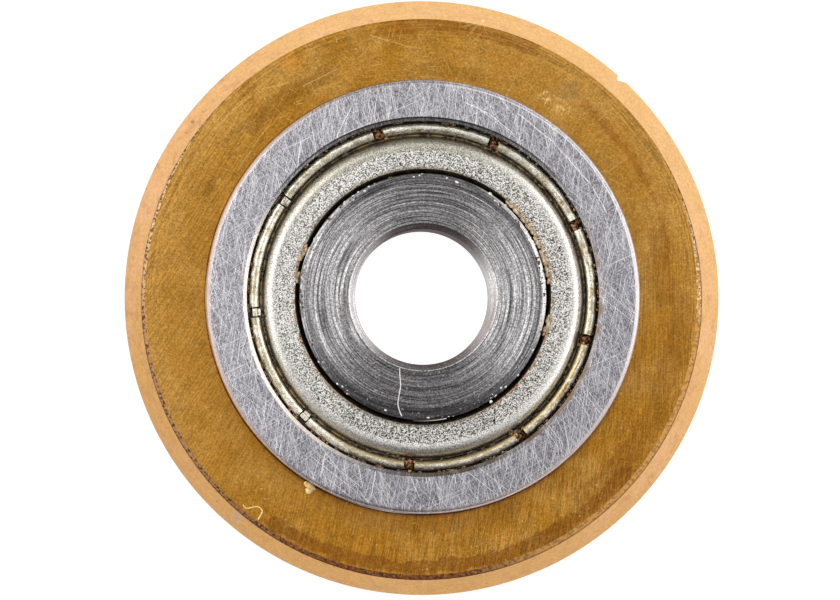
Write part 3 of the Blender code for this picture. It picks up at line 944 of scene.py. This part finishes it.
def ground_steel():
    """Outer ring: a ground face with fine grain and bright scratches that cross each other, and painted
    light, reflections and shade on its face, corner and lip.
    """
    f = Finish("bearing_steel_ground")
    speckle = f.noise(19.0, 1.0, 0.5)
    grain = f.noise(1.0, 2.0, 0.6, f.mapped(f.place, scale=(22, 7, 0), turn=8))
    cloud = f.noise(1.4, 1.5, 0.5)
    shade = f.plus(f.between(grain, 0.32, 0.68, 0.82, 1.18), f.between(speckle, 0.32, 0.68, -0.24, 0.24))
    shade = f.times(shade, f.between(cloud, 0.3, 0.7, 0.96, 1.04))
    # Painted light and shade: the face lighter towards 185° and darker towards 275°.
    shade = f.scaled(f.facing(185, 0.2, 0.9), 0.14, shade)
    shade = f.scaled(f.facing(275, 0.1, 0.9), -0.2, shade)
    f.colour = f.brighter(GROUND_GREY, shade)
    dark = [f.streaks(70, 22, 1.6, 0.58, 0.66, seed=5)]
    dark += [f.streaks(turn, 22, 1.4, 0.59, 0.67, seed=turn) for turn in (-12, 35, 110)]
    fine = [f.streaks(82, 22, 0.6, 0.6, 0.67, seed=1)]
    fine += [f.streaks(turn, 22, 0.6, 0.62, 0.69, seed=turn) for turn in (101, -42, 31, 128)]
    fine = f.strongest(*fine)
    bright = [f.trails(RING_SCRATCHES, HALF_WIDTH), f.scratches(-38, 4.0, RING_HAIRLINE, 0.15, seed=1)]
    for turn, length, share in CROSSED_SCRATCHES:
        bright.append(f.scratches(turn, length, RING_HAIRLINE, share, seed=turn / 7))
    f.tint(DARK_STREAK, f.strongest(*dark), 0.75)
    f.tint(PALE_STREAK, fine, 0.45)
    f.tint(WHITE_SCRATCH, f.strongest(*bright), 0.85)

    round_outside = f.between(f.ring_noise(1.2, 24, 2.0, 0.6, seed=6.0), 0.32, 0.68, 0.8, 1.15)
    f.tint(f.brighter(SIDE_GREY, round_outside), f.outside(OUTER_RADIUS - 0.03, OUTER_RADIUS - 0.01))
    corner = f.outside(OUTER_RADIUS - OUTER_CORNER, OUTER_RADIUS - OUTER_CORNER / 2)
    # Painted reflections and shade on the corner, then its painted highlight and shade lines.
    for towards, share, tint in CORNER_REFLECTIONS_AND_SHADE:
        f.tint(tint, corner, f.facing(towards, 0.4, 0.9), share)
    for inwards, towards, share, tint in CORNER_HIGHLIGHT_AND_SHADE_LINES:
        middle = OUTER_RADIUS - inwards
        f.tint(tint, f.band(f.radius, middle - 0.01, middle + 0.01, 0.02), f.facing(towards, 0.5, 0.9), share)

    lip = f.within(LIP_EDGE - 0.03, LIP_EDGE)
    lip_inside = f.within(LIP_RADIUS + LIP_CHAMFER * 0.45, LIP_RADIUS + LIP_CHAMFER * 0.7)
    # Painted shade on the outer half of the lip's chamfer towards 95°, and a painted highlight on its inner
    # part towards 200°.
    f.tint(LIP_CHAMFER_SHADE, f.minus(lip, lip_inside), f.facing(95, 0.35, 0.85), 0.85)
    f.tint(LIP_CHAMFER_HIGHLIGHT, f.within(LIP_RADIUS + LIP_CHAMFER * 0.7, LIP_EDGE), f.facing(200, 0.5, 0.85), 0.9)
    f.tint(LIP_GRIME, lip, f.facing(320, 0.2, 0.85), f.between(cloud, 0.35, 0.6, 0.3, 0.9))
    # Painted shade deep in the undercut under the lip.
    deep = f.fading(f.size_of(f.height), LIP_TOP - 0.1, LIP_TOP)
    f.tint(UNDERCUT_SHADE, f.within(LIP_RADIUS - 0.02, LIP_RADIUS + 0.01), deep, 0.95)
    f.bump(f.minus(f.plus(grain, speckle), fine), 0.004, 0.6)
    return f.done(f.between(grain, 0.3, 0.7, 0.28, 0.42))


# The inner ring's colours
TURNED_GREY = (0.43, 0.42, 0.43)
LOW_SHADE = (0.07, 0.07, 0.08)
CHAMFER_DULL = (0.2, 0.15, 0.13)
CHAMFER_TOP_SHADE = (0.09, 0.05, 0.045)
CHAMFER_GLINT = (0.95, 0.92, 0.88)
CHAMFER_SHADE_LINE = (0.12, 0.115, 0.12)
GAP_SHADE = (0.03, 0.02, 0.015)
DUST_WHITE = (0.8, 0.79, 0.76)
CORNER_GLINT = (0.9, 0.86, 0.8)
SPARK_WHITE = (0.75, 0.74, 0.75)
BORE_WALL_SHADE = (0.16, 0.1, 0.08)


def turned_steel():
    """Inner ring: concentric marks from turning, which catch the light from the two sides, with painted shade
    and highlights as well.
    """
    f = Finish("bearing_steel_turned")
    rings = f.ring_noise(1.5, 28, 2.0, 0.6)
    crisp = f.ring_noise(1.5, 24, 1.0, 0.5, seed=4.0)
    wide_rings = f.ring_noise(1.2, 5, 2.0, 0.6, seed=9.0)
    speckle = f.noise(21.0, 1.0, 0.5)
    shade = f.plus(
        f.between(rings, 0.34, 0.66, 0.5, 1.3),
        f.between(wide_rings, 0.3, 0.7, -0.07, 0.07),
        f.between(crisp, 0.58, 0.66, 0.0, 0.8),
    )
    # A painted shade band just inside the shoulder's rounding, with a wavering edge.
    wandering = f.plus(f.radius, f.between(wide_rings, 0.3, 0.7, -0.04, 0.04))
    shade_before_shoulder = f.band(wandering, INNER_SHOULDER - 0.35, INNER_SHOULDER - 0.2, 0.05)
    # Painted shade: the band before the shoulder, and darker towards the top and, much more, towards the
    # bottom.
    shade = f.times(
        shade,
        f.between(crisp, 0.36, 0.42, 0.45, 1.0),
        f.between(speckle, 0.34, 0.66, 0.6, 1.4),
        f.scaled(shade_before_shoulder, -0.5, 1.0),
        f.scaled(f.facing(90, 0.4, 0.95), -0.16, 1.0),
        f.scaled(f.facing(268, 0.4, 0.95), -0.52, 1.0),
    )
    chamfer_end = BORE_RADIUS + BORE_CORNER
    slope = f.math("LESS_THAN", f.radius, chamfer_end)
    # Painted highlight: the bore's chamfer lighter towards +X and -X.
    sides = f.strongest(f.facing(0, 0.5, 0.9), f.facing(180, 0.4, 0.85))
    f.colour = f.brighter(TURNED_GREY, f.scaled(slope, f.scaled(sides, 0.8, 0.02), shade))
    outer_third = f.outside(INNER_SHOULDER - 0.5, INNER_SHOULDER - 0.1)
    f.tint(LOW_SHADE, outer_third, f.facing(262, 0.1, 0.9), 0.62)

    top = f.facing(75, 0.5, 0.95)
    f.tint(CHAMFER_DULL, slope, f.scaled(f.facing(310, 0.5, 0.9), 0.4, 0.2))
    # Painted shade on the chamfer towards the top, and a painted shade line just outside the chamfer.
    f.tint(CHAMFER_TOP_SHADE, slope, top, 0.5)
    f.tint(CHAMFER_SHADE_LINE, f.band(f.radius, chamfer_end + 0.04, chamfer_end + 0.06, 0.03), 0.35)
    glint = f.times(f.band(f.radius, chamfer_end, chamfer_end + 0.015, 0.02), f.between(speckle, 0.36, 0.5))
    f.tint(CHAMFER_GLINT, glint, f.scaled(top, -0.7, 0.95))

    # Painted shade on the ring's side deep in the gap below its shoulder.
    deep = f.fading(f.size_of(f.height), HALF_WIDTH - 0.25, HALF_WIDTH - 0.15)
    f.tint(GAP_SHADE, f.outside(INNER_SHOULDER - 0.03, INNER_SHOULDER - 0.01), deep, 0.9)
    f.tint(DUST_WHITE, f.between(f.noise(6.0, 1.0, 0.5), 0.74, 0.78), 0.7)
    dashes = f.between(f.ring_noise(7, 4, 2.0, 0.6, seed=5.0), 0.48, 0.56)
    glint = f.times(f.band(f.radius, INNER_SHOULDER - 0.05, INNER_SHOULDER - 0.02, 0.03), dashes)
    towards_lights = f.strongest(f.facing(22, 0.6, 0.9), f.facing(180, 0.6, 0.9))
    f.tint(CORNER_GLINT, glint, f.scaled(towards_lights, 0.4, 0.15))
    sparks = f.between(f.noise(15.0, 1.0, 0.5, f.shifted(2, 5)), 0.66, 0.72)
    f.tint(SPARK_WHITE, sparks, f.scaled(f.facing(265, 0.0, 0.9), 0.5, 0.15))
    # Painted shade on the bore wall, weaker towards +X and -X.
    f.tint(BORE_WALL_SHADE, f.within(BORE_RADIUS, BORE_RADIUS + 0.03), f.scaled(sides, -0.5, 0.55))
    f.bump(f.plus(rings, crisp), 0.007, 1.0)
    f.shader.inputs["Anisotropic"].default_value = 0.85
    f.shader.inputs["Anisotropic Rotation"].default_value = 0.25
    return f.done(0.5)


# The shields' colours
PLATED_GREY = (0.56, 0.545, 0.515)
OLIVE_SHADE = (0.4, 0.37, 0.27)
KHAKI = (0.42, 0.37, 0.24)
BEAD_DULL = (0.52, 0.47, 0.33)
BEAD_CREAM = (0.86, 0.83, 0.73)
SMEAR_BROWN = (0.3, 0.19, 0.08)
FLANK_GOLD = (0.4, 0.29, 0.1)
AMBER = (0.42, 0.24, 0.09)
EDGE_SHADE = (0.2, 0.17, 0.12)
MUD_AND_SHADE_BLACK = (0.03, 0.023, 0.015)
MUD_BROWN = (0.22, 0.155, 0.08)
FLANGE_SHADE = (0.055, 0.04, 0.03)


def plated_sheet():
    """Shields: satin speckled plating, with brown grease along the edges and in the channel. Light and shade
    are painted on the flat, the wall and the bead, and shade deep in the channel and beside the bead.
    """
    f = Finish("plated_sheet_satin")
    height = f.size_of(f.height)
    speckle = f.noise(21.0, 1.5, 0.6)
    pitting = f.noise(15.0, 1.0, 0.5, f.shifted(7, 3))
    cloud = f.noise(1.3, 2.0, 0.5)
    lumpy = f.ring_noise(16, 3.0, 3.0, 0.65)
    shoulder = f.outside(SHIELD_WALL - 0.5, SHIELD_WALL - 0.28)
    wall = f.band(f.radius, SHIELD_WALL - 0.42, SHIELD_WALL + 0.02, 0.06)
    bead = f.outside(BEAD_INNER - 0.1, BEAD_INNER)
    inner_edge = f.within(SHIELD_INNER + 0.02, SHIELD_INNER + 0.16)

    grain = f.plus(f.between(speckle, 0.36, 0.62, -0.85, 0.78), f.between(pitting, 0.38, 0.47, -0.42, 0.0))
    shade = f.scaled(grain, f.scaled(shoulder, -0.5, 1.0), 1.1)
    shade = f.times(shade, f.between(cloud, 0.3, 0.7, 0.93, 1.06))
    # Painted light and shade: the flat lighter towards 150° and darker towards 276°, the wall lit towards
    # 285° and 20° and shaded towards 122°.
    shade = f.scaled(f.facing(150, 0.2, 0.9), 0.12, shade)
    shade = f.scaled(f.facing(276, 0.4, 0.95), -0.16, shade)
    for towards, gain in ((285, 0.52), (20, 0.18), (122, -0.24)):
        shade = f.scaled(f.times(wall, f.facing(towards, 0.3, 0.9)), gain, shade)
    f.colour = f.brighter(PLATED_GREY, shade)
    olive = f.brighter(OLIVE_SHADE, f.between(speckle, 0.36, 0.62, 0.7, 1.25))
    f.tint(olive, wall, f.facing(105, 0.5, 0.95), f.between(speckle, 0.3, 0.6, 0.8, 0.4))
    f.tint(KHAKI, f.outside(SHIELD_WALL - 0.2, SHIELD_WALL), f.between(cloud, 0.35, 0.6), 0.5)

    # A painted highlight: the bead cream, duller in patches.
    bead_highlight = f.mix(f.between(lumpy, 0.38, 0.58), BEAD_DULL, BEAD_CREAM)
    f.tint(f.brighter(bead_highlight, f.between(speckle, 0.35, 0.6, 0.65, 1.15)), bead)
    smear = f.between(f.ring_noise(9, 4.0, 3.0, 0.7, seed=3.0), 0.52, 0.62)
    f.tint(SMEAR_BROWN, smear, bead, f.scaled(f.facing(350, 0.1, 0.9), 0.5, 0.3))
    flank = f.band(f.radius, BEAD_INNER - 0.02, BEAD_INNER + 0.05, 0.04)
    f.tint(FLANK_GOLD, flank, f.facing(295, 0.3, 0.85), f.between(lumpy, 0.35, 0.5, 0.4, 0.85))
    amber_at = f.strongest(f.facing(350, 0.2, 0.8), f.facing(190, 0.6, 0.9))
    f.tint(AMBER, inner_edge, amber_at, f.between(f.noise(3.0, 3.0, 0.6), 0.4, 0.55), 0.8)
    away_from_light = f.strongest(f.facing(110, 0.3, 0.9), f.facing(262, 0.6, 0.95))
    f.tint(EDGE_SHADE, inner_edge, away_from_light, 0.65)

    # Dirt and painted shade deep in the channel, lighter towards 208° and 60° and darker towards 295°.
    mud_and_shade = f.mix(f.between(lumpy, 0.42, 0.58), MUD_AND_SHADE_BLACK, MUD_BROWN)
    pale_mud = f.strongest(f.facing(208, 0.4, 0.9), f.times(f.facing(60, 0.2, 0.9), 0.5))
    mud_and_shade = f.brighter(mud_and_shade, f.scaled(pale_mud, 0.9, 1.0))
    mud_and_shade = f.brighter(mud_and_shade, f.scaled(f.facing(295, 0.3, 0.9), -0.45, 1.0))
    channel = f.band(f.radius, SHIELD_WALL + 0.05, BEAD_INNER - 0.05, 0.05)
    f.tint(mud_and_shade, channel, f.fading(height, CHANNEL_LEVEL + 0.12, CHANNEL_LEVEL + 0.2), 0.95)
    # Painted shade on the flange deep in the gap beside the bead.
    flange = f.outside(BEAD_OUTER + 0.03, BEAD_OUTER + 0.06)
    f.tint(FLANGE_SHADE, flange, f.fading(height, CHANNEL_LEVEL + 0.18, CHANNEL_LEVEL + 0.3))
    f.bump(f.scaled(speckle, 0.2, f.times(f.plus(f.noise(3.5, 2.0, 0.6), lumpy), bead)), 0.03, 0.8)
    return f.done(f.between(speckle, 0.3, 0.7, 0.3, 0.42))


def pressed_strip():
    """Cage: plain pressed steel strip with a dull grain."""
    f = Finish("cage_steel_pressed")
    grain = f.noise(8.0, 3.0, 0.6)
    f.colour = f.brighter((0.4, 0.39, 0.37), f.between(grain, 0.3, 0.7, 0.85, 1.1))
    f.bump(grain, 0.004, 0.5)
    return f.done(0.36)


def polished_steel():
    """Balls: polished, with a faint haze."""
    f = Finish("ball_steel_polished")
    haze = f.noise(1.5, 3.0, 0.6)
    f.colour = f.brighter((0.6, 0.6, 0.62), f.between(haze, 0.3, 0.7, 0.94, 1.03))
    return f.done(f.between(haze, 0.3, 0.7, 0.08, 0.14))


def old_grease():
    """Dark grease inside the bearing."""
    f = Finish("old_grease", metallic=0.0)
    streaks = f.noise(5.0, 3.0, 0.6)
    f.colour = f.mix(f.between(streaks, 0.4, 0.65), (0.012, 0.009, 0.007), (0.05, 0.03, 0.015))
    f.bump(streaks, 0.02, 0.8)
    return f.done(0.35)


def rusty_grease():
    """Grease and rust that has dried in the shields' notches."""
    f = Finish("rusty_grease", metallic=0.0)
    patches = f.noise(9.0, 3.0, 0.7)
    f.colour = f.mix(f.between(patches, 0.46, 0.56), (0.018, 0.009, 0.006), (0.42, 0.19, 0.06))
    f.tint((0.7, 0.5, 0.26), f.between(patches, 0.6, 0.68))
    f.bump(patches, 0.05, 1.0)
    return f.done(0.4)


def dust(name, pale, deep):
    """A dry speck or thread of dust."""
    f = Finish(name, metallic=0.0)
    cloud = f.noise(9.0, 2.0, 0.6)
    f.colour = f.mix(f.between(cloud, 0.35, 0.65), pale, deep)
    f.bump(cloud, 0.02, 0.8)
    return f.done(0.7)


# Grease and dust


LUMP_UNEVENNESS = 0.45
LUMP_WAVES = 1.4


def add_lump(shape, radial, angle, height, size, seed, detail=2):
    """Adds one uneven lump at a radius, angle and height; size is its radial, sideways and upright half."""
    made = bmesh.ops.create_icosphere(shape, subdivisions=detail, radius=1.0)
    turn = Matrix.Rotation(math.radians(angle), 3, "Z")
    for vertex in made["verts"]:
        wave = noise.noise(vertex.co * LUMP_WAVES + Vector((seed * 5.3, seed, 0)))
        uneven = 1.0 + LUMP_UNEVENNESS * wave
        local = Vector([part * half * uneven for part, half in zip(vertex.co, size)])
        vertex.co = turn @ (local + Vector((radial, 0, 0))) + Vector((0, 0, height))


GREASE_GAP = 0.03
GREASE_HALF_WIDTH = 0.16
GREASE_HEIGHT = 1.75
GREASE_HALF_HEIGHT = 0.2
GREASE_CORNERS = 16
GREASE_WAVE = 0.03


def grease_collars(finish):
    """A collar of grease on each shoulder of the inner ring, which makes the gap beside it dark."""
    for side, name in ((1, "front_grease_collar"), (-1, "back_grease_collar")):
        outline = []
        for corner in range(GREASE_CORNERS):
            turn = math.tau * corner / GREASE_CORNERS
            radius = INNER_SHOULDER + GREASE_GAP + GREASE_HALF_WIDTH * (1 + math.cos(turn))
            outline.append((radius, side * (GREASE_HEIGHT + GREASE_HALF_HEIGHT * math.sin(turn))))
        collar = turned(outline, COLLAR_STEPS)
        for vertex in collar.verts:
            vertex.co.z += GREASE_WAVE * noise.noise(vertex.co * 2.0)
        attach(made_piece(name, collar, [finish], SOFT_CREASE), "axle_side")


CLEAN_NOTCHES = (3, 4, 5)
SHEET_END_HALF = 0.17
SHEET_STEP_HALF = 0.15
SHEET_STEP_HEIGHT = 0.3
SHEET_STEP_LENGTH = 0.12
SHEET_END_BEVEL = 0.05
# Lumps in a notch: millimetres out, degrees aside, height above the channel, half sizes and seed
NOTCH_LUMPS = (
    (-0.04, 0.0, 0.12, (0.2, 0.17, 0.2), 1),
    (0.12, 0.6, 0.1, (0.12, 0.13, 0.16), 7),
)
# Crumbs on the bead's ends beside a notch: millimetres out, degrees aside and half size
NOTCH_CRUMBS = (
    (-0.14, 2.0, 0.07),
    (0.1, -1.9, 0.08),
    (0.02, 2.3, 0.06),
    (-0.2, -2.3, 0.07),
    (0.16, 2.5, 0.05),
    (-0.08, -1.5, 0.1),
)


def sheet_end(shape, angle):
    """The bent end of the sheet that shows in a clean notch, with a lower step inwards of it."""
    top = (BEAD_OUTER - 0.03, SHEET_END_HALF, BEAD_LEVEL - 0.01)
    block(shape, (BEAD_INNER + 0.01, -SHEET_END_HALF, CHANNEL_LEVEL), top, angle)
    step = (BEAD_INNER + 0.05, SHEET_STEP_HALF, CHANNEL_LEVEL + SHEET_STEP_HEIGHT)
    block(shape, (BEAD_INNER - SHEET_STEP_LENGTH, -SHEET_STEP_HALF, CHANNEL_LEVEL), step, angle)


def notch_dirt(rusty, pale):
    """What has dried in each notch of the front shield, and on the bead's ends beside it."""
    dirty = bmesh.new()
    clean = bmesh.new()
    middle = (BEAD_INNER + BEAD_OUTER) / 2
    for i in range(NOTCH_COUNT):
        angle = notch_angle(i)
        if i in CLEAN_NOTCHES:
            sheet_end(clean, angle)
            continue
        for out, aside, height, size, seed in NOTCH_LUMPS:
            add_lump(dirty, middle + out, angle + aside, CHANNEL_LEVEL + height, size, i + seed)
        for k, (out, aside, half) in enumerate(NOTCH_CRUMBS):
            height = BEAD_LEVEL - abs(out) * 0.6
            add_lump(dirty, middle + out, angle + aside, height, (half, half * 1.2, half), i * 7 + k, 1)
    bmesh.ops.bevel(
        clean,
        geom=clean.edges[:],
        offset=SHEET_END_BEVEL,
        segments=3,
        profile=0.5,
        material=-1,
        affect="EDGES",
    )
    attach(made_piece("rusty_grease_in_notches", dirty, [rusty], SOFT_CREASE), "wheel_side")
    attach(made_piece("sheet_ends_in_notches", clean, [pale], SOFT_CREASE), "wheel_side")


CRUMB_STEPS = (0.3, 0.3, 2.4)  # two short steps for each long one bring the crumbs together
CRUMB_SIZES = (0.4, 1.5)


def crumbs(name, count, spot, half, finish, body):
    """Small crumbs in loose clusters all the way round; spot gives a radius and height from a share."""
    shape = bmesh.new()
    dice = random.Random(count)
    angle = 0.0
    for number in range(count):
        angle += dice.uniform(0.0, 2.0) * FULL_TURN / count * dice.choice(CRUMB_STEPS)
        size = half * dice.uniform(*CRUMB_SIZES)
        radius, height = spot(dice.uniform(-1.0, 1.0))
        add_lump(shape, radius, angle, height, (size, size * 1.4, size), number, 1)
    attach(made_piece(name, shape, [finish], SOFT_CREASE), body)


def beside_bead(share):
    return LIP_RADIUS - BEAD_LIP_GAP / 2 + 0.02 * share, LIP_TOP - 0.1 + 0.04 * share


def in_channel(share):
    return BEAD_INNER - 0.12 + 0.06 * share, CHANNEL_LEVEL + 0.22 + 0.06 * abs(share)


def at_shield_edge(share):
    return SHIELD_INNER + 0.04 + 0.04 * share, FLAT_LEVEL + HALF_SHEET


def on_shoulder(share):
    """A place on the rounding of the inner ring's shoulder."""
    turn = math.radians(48 + 32 * share)
    radius = INNER_SHOULDER - SHOULDER_CORNER * (1 - math.cos(turn))
    return radius, HALF_WIDTH - SHOULDER_CORNER * (1 - math.sin(turn))


# Stretches of the gap beside the inner ring that dried grease fills, in degrees round from +X
GREASE_STRETCHES = ((7, 49), (157, 163), (170, 174), (343, 352))
GREASE_LUMP_STEP = 0.9


def dried_grease(finish):
    """Dried grease on the front shield's inner edge, which fills the gap here and there."""
    shape = bmesh.new()
    dice = random.Random(NOTCH_COUNT)
    for start, end in GREASE_STRETCHES:
        lumps = round((end - start) / GREASE_LUMP_STEP)
        for number in range(lumps):
            angle = start + number * GREASE_LUMP_STEP + dice.uniform(-0.4, 0.4)
            radius = INNER_SHOULDER + SHIELD_GAP * dice.uniform(0.55, 1.15)
            height = FLAT_LEVEL + dice.uniform(-0.03, 0.04)
            half = dice.uniform(0.05, 0.1)
            add_lump(shape, radius, angle, height, (half, half * 1.5, half * 0.8), number, 1)
    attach(made_piece("dried_grease_in_gap", shape, [finish], SOFT_CREASE), "wheel_side")


# Loose dust in the photograph, by column and row in pixels; a lump of the crumb has its half sizes and seed
CRUMB_LUMPS = (
    (309.8, 485.9, (0.12, 0.2, 0.09), 2),
    (306.9, 484.2, (0.09, 0.11, 0.08), 5),
    (313.0, 488.2, (0.09, 0.12, 0.08), 8),
    (309.2, 491.0, (0.13, 0.13, 0.1), 3),
)
GRAINS_IN_GAP = ((490.7, 192.2), (491.8, 403.0))
GRAIN_HALF = 0.06
CURLED_FIBRE = (
    (243.2, 504.8), (244.2, 506.6), (246.0, 508.2), (248.6, 508.4),
    (251.1, 507.6), (255.0, 506.5), (258.8, 506.7), (260.7, 508.3),
    (262.6, 510.8), (261.7, 513.7), (259.7, 516.9), (258.1, 519.7),
)
FIBRE_THICKNESS = 0.05
HAIR = ((399.6, 368.3), (399.9, 377.9), (401.0, 385.0), (398.5, 397.9), (397.4, 406.9), (401.9, 416.3))
HAIR_THICKNESS = 0.034
HAIR_LIFT = 0.004


def radius_and_angle(column, row, height):
    x, y = on_face(column, row, height)
    return math.hypot(x, y), math.degrees(math.atan2(y, x))


def thread(name, spots, height, thickness, finish, body):
    """A loose thread that lies on a face through a few pixels of the photograph."""
    line = bpy.data.curves.new(name, "CURVE")
    line.dimensions = "3D"
    line.bevel_depth = thickness / 2 * MM
    line.bevel_resolution = 3
    line.use_fill_caps = True
    path = line.splines.new("NURBS")
    path.points.add(len(spots) - 1)
    path.use_endpoint_u = True
    path.order_u = 3
    path.resolution_u = 6
    for point, (column, row) in zip(path.points, spots):
        point.co = (*[part * MM for part in on_face(column, row, height)], height * MM, 1.0)
    soft = held(name, line)
    mesh = applied(soft)
    bpy.data.objects.remove(soft)
    mesh.materials.clear()
    mesh.materials.append(finish)
    mesh.shade_smooth()
    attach(held(name, mesh), body)


def loose_dust(pale, yellow):
    """The crumb at the seam, a curled fibre, a hair on the inner ring and two grains in the gap."""
    crumb = bmesh.new()
    for column, row, size, seed in CRUMB_LUMPS:
        radius, angle = radius_and_angle(column, row, WHEEL_HALF)
        add_lump(crumb, radius, angle, WHEEL_HALF + size[2] * 0.6, size, seed)
    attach(made_piece("crumb_at_seam", crumb, [yellow], SOFT_CREASE), "wheel_side")
    grains = bmesh.new()
    for column, row in GRAINS_IN_GAP:
        radius, angle = radius_and_angle(column, row, HALF_WIDTH)
        add_lump(grains, radius - GRAIN_HALF, angle, HALF_WIDTH - 0.08, (GRAIN_HALF,) * 3, column)
    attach(made_piece("grains_in_gap", grains, [pale], SOFT_CREASE), "axle_side")
    fibre_height = WHEEL_HALF + FIBRE_THICKNESS / 2
    thread("curled_fibre", CURLED_FIBRE, fibre_height, FIBRE_THICKNESS, yellow, "wheel_side")
    thread("hair_on_inner_ring", HAIR, HALF_WIDTH + HAIR_LIFT, HAIR_THICKNESS, pale, "axle_side")


# Setting: floor, light and camera

SENSOR = 36.0
FLOOR_HALF = 600.0
FLOOR_GLOW = 0.8
BORE_GLOW = 0.95
FLOOR_MATT = 0.34
GLOW_CHANGES = (1.45, 1.7)  # half widths of the bearing from the axis, where the bore's glow ends
WARM_WHITE = (1.0, 0.99, 0.975, 1.0)
# The light tent: the part of a direction along an axis, from and to, and the strength at each
ROOF = (0.74, 0.97, 1.35, 0.76)
RIGHT_WALL = (0.3, 0.8, 0.0, 0.95)
LEFT_WALL = (-0.8, -0.3, 0.8, 0.0)
FRONT_WALL = (-0.7, -0.06, 0.1, 1.0)
BACK_WALL = (0.5, 0.95, 1.0, 0.3)


def camera():
    """The camera, almost straight above, which shows the wheel where the photograph has it."""
    lens = bpy.data.cameras.new("camera")
    lens.type = "PERSP"
    lens.sensor_width = SENSOR
    lens.lens = SENSOR * CAMERA_DISTANCE * MID_SCALE / IMAGE_WIDTH
    lens.clip_start = 0.01
    lens.clip_end = 10.0
    lean = math.sin(math.radians(CAMERA_LEAN))
    tilt = math.sin(math.radians(CAMERA_TILT))
    away = Vector((-lean, -tilt, 1.0)).normalized()
    aim = Vector((IMAGE_WIDTH / 2 - CENTRE_COLUMN, CENTRE_ROW - IMAGE_HEIGHT / 2, 0.0)) / MID_SCALE
    eye = held("camera", lens)
    eye.location = (aim + away * CAMERA_DISTANCE) * MM
    side = Vector((0, 1, 0)).cross(away).normalized()
    up = away.cross(side)
    eye.rotation_euler = Matrix((side, up, away)).transposed().to_euler()
    bpy.context.scene.camera = eye


def floor():
    """A pale floor that the camera and the metal see as white, and that still takes the shadow, though its
    stronger glow under the bore paints out the shadow there.
    """
    shape = bmesh.new()
    bmesh.ops.create_grid(shape, x_segments=1, y_segments=1, size=FLOOR_HALF)
    bmesh.ops.translate(shape, vec=(0, 0, -HALF_WIDTH), verts=shape.verts)
    pale = bpy.data.materials.new("pale_floor")
    wiring = Wiring(pale)
    nodes = wiring.nodes
    nodes.clear()
    matt = nodes.new("ShaderNodeBsdfDiffuse")
    matt.inputs["Color"].default_value = (FLOOR_MATT, FLOOR_MATT, FLOOR_MATT, 1)
    rays = nodes.new("ShaderNodeLightPath").outputs
    seen = wiring.strongest(rays["Is Camera Ray"], rays["Is Glossy Ray"], rays["Is Transmission Ray"])
    away = nodes.new("ShaderNodeVectorMath")
    away.operation = "LENGTH"
    wiring.feed(away.inputs[0], nodes.new("ShaderNodeTexCoord").outputs["Object"])
    # Painted light: the floor glows more strongly under the bore, which lifts the shadow inside it.
    near, far = [HALF_WIDTH * share * MM for share in GLOW_CHANGES]
    level = wiring.between(away.outputs["Value"], near, far, BORE_GLOW, FLOOR_GLOW, curve="LINEAR")
    glow = nodes.new("ShaderNodeEmission")
    wiring.feed(glow.inputs["Strength"], wiring.times(seen, level))
    both = nodes.new("ShaderNodeAddShader")
    wiring.feed(both.inputs[0], matt.outputs[0])
    wiring.feed(both.inputs[1], glow.outputs[0])
    wiring.feed(nodes.new("ShaderNodeOutputMaterial").inputs["Surface"], both.outputs[0])
    made_piece("floor", shape, [pale])


def world():
    """A light tent: even overhead, brighter round the sides, brightest at +X and -X, dim towards -Y."""
    sky = bpy.data.worlds.new("studio")
    bpy.context.scene.world = sky
    wiring = Wiring(sky)
    light = wiring.nodes["Background"]
    direction = wiring.nodes.new("ShaderNodeTexCoord")
    across, along, up = wiring.parts_of(direction.outputs["Generated"])
    sides = wiring.plus(wiring.between(across, *RIGHT_WALL), wiring.between(across, *LEFT_WALL))
    front = wiring.between(along, *FRONT_WALL)
    back = wiring.between(along, *BACK_WALL)
    tent = wiring.times(wiring.between(up, *ROOF), front, back)
    strength = wiring.scaled(sides, wiring.scaled(front, 0.5, 0.5), tent)
    wiring.feed(light.inputs["Strength"], strength)
    light.inputs["Color"].default_value = WARM_WHITE


def lamp(name, place, size, power):
    """A square softbox that faces the wheel: place and size in millimetres, power in watts."""
    bulb = bpy.data.lights.new(name, "AREA")
    bulb.shape = "SQUARE"
    bulb.size = size * MM
    bulb.energy = power
    box = held(name, bulb)
    box.location = Vector(place) * MM
    box.rotation_euler = Vector(place).to_track_quat("Z", "Y").to_euler()


sheet = plated_sheet()
cutting_ring(coated_flat(), coated_bevel(), coated_land())
outer_ring(ground_steel())
inner_ring(turned_steel())
crimped_shield("front_crimped_shield", "front_shield", 1, sheet)
crimped_shield("back_crimped_shield", "back_shield", -1, sheet)
bearing_balls(polished_steel())
strip = pressed_strip()
for half in ("cage_front_half", "cage_back_half"):
    frame["nodes"][half].data.materials.clear()
    frame["nodes"][half].data.materials.append(strip)

grease_collars(old_grease())
rust = rusty_grease()
notch_dirt(rust, sheet)
pale_dust = dust("pale_dust", (0.9, 0.88, 0.84), (0.75, 0.72, 0.66))
yellow_dust = dust("yellow_dust", (0.95, 0.78, 0.42), (0.85, 0.55, 0.2))
loose_dust(pale_dust, yellow_dust)
brown_dirt = dust("brown_dirt", (0.15, 0.105, 0.06), (0.025, 0.017, 0.01))
crumbs("dirt_beside_bead", 150, beside_bead, 0.04, brown_dirt, "wheel_side")
crumbs("rust_beside_bead", 110, beside_bead, 0.04, rust, "wheel_side")
crumbs("rust_at_shield_edge", 60, at_shield_edge, 0.03, rust, "wheel_side")
dried_grease(dust("tan_dried_grease", (0.74, 0.6, 0.4), (0.4, 0.25, 0.12)))
crumbs("dirt_in_channel", 180, in_channel, 0.05, brown_dirt, "wheel_side")
crumbs("dark_grit_on_shoulder", 90, on_shoulder, 0.04, brown_dirt, "axle_side")
crumbs("pale_grit_on_shoulder", 70, on_shoulder, 0.03, pale_dust, "axle_side")

floor()
world()
lamp("left_softbox", (-45, 27, 66), 36, 0.009)
camera()
bpy.context.scene.view_settings.view_transform = "Standard"
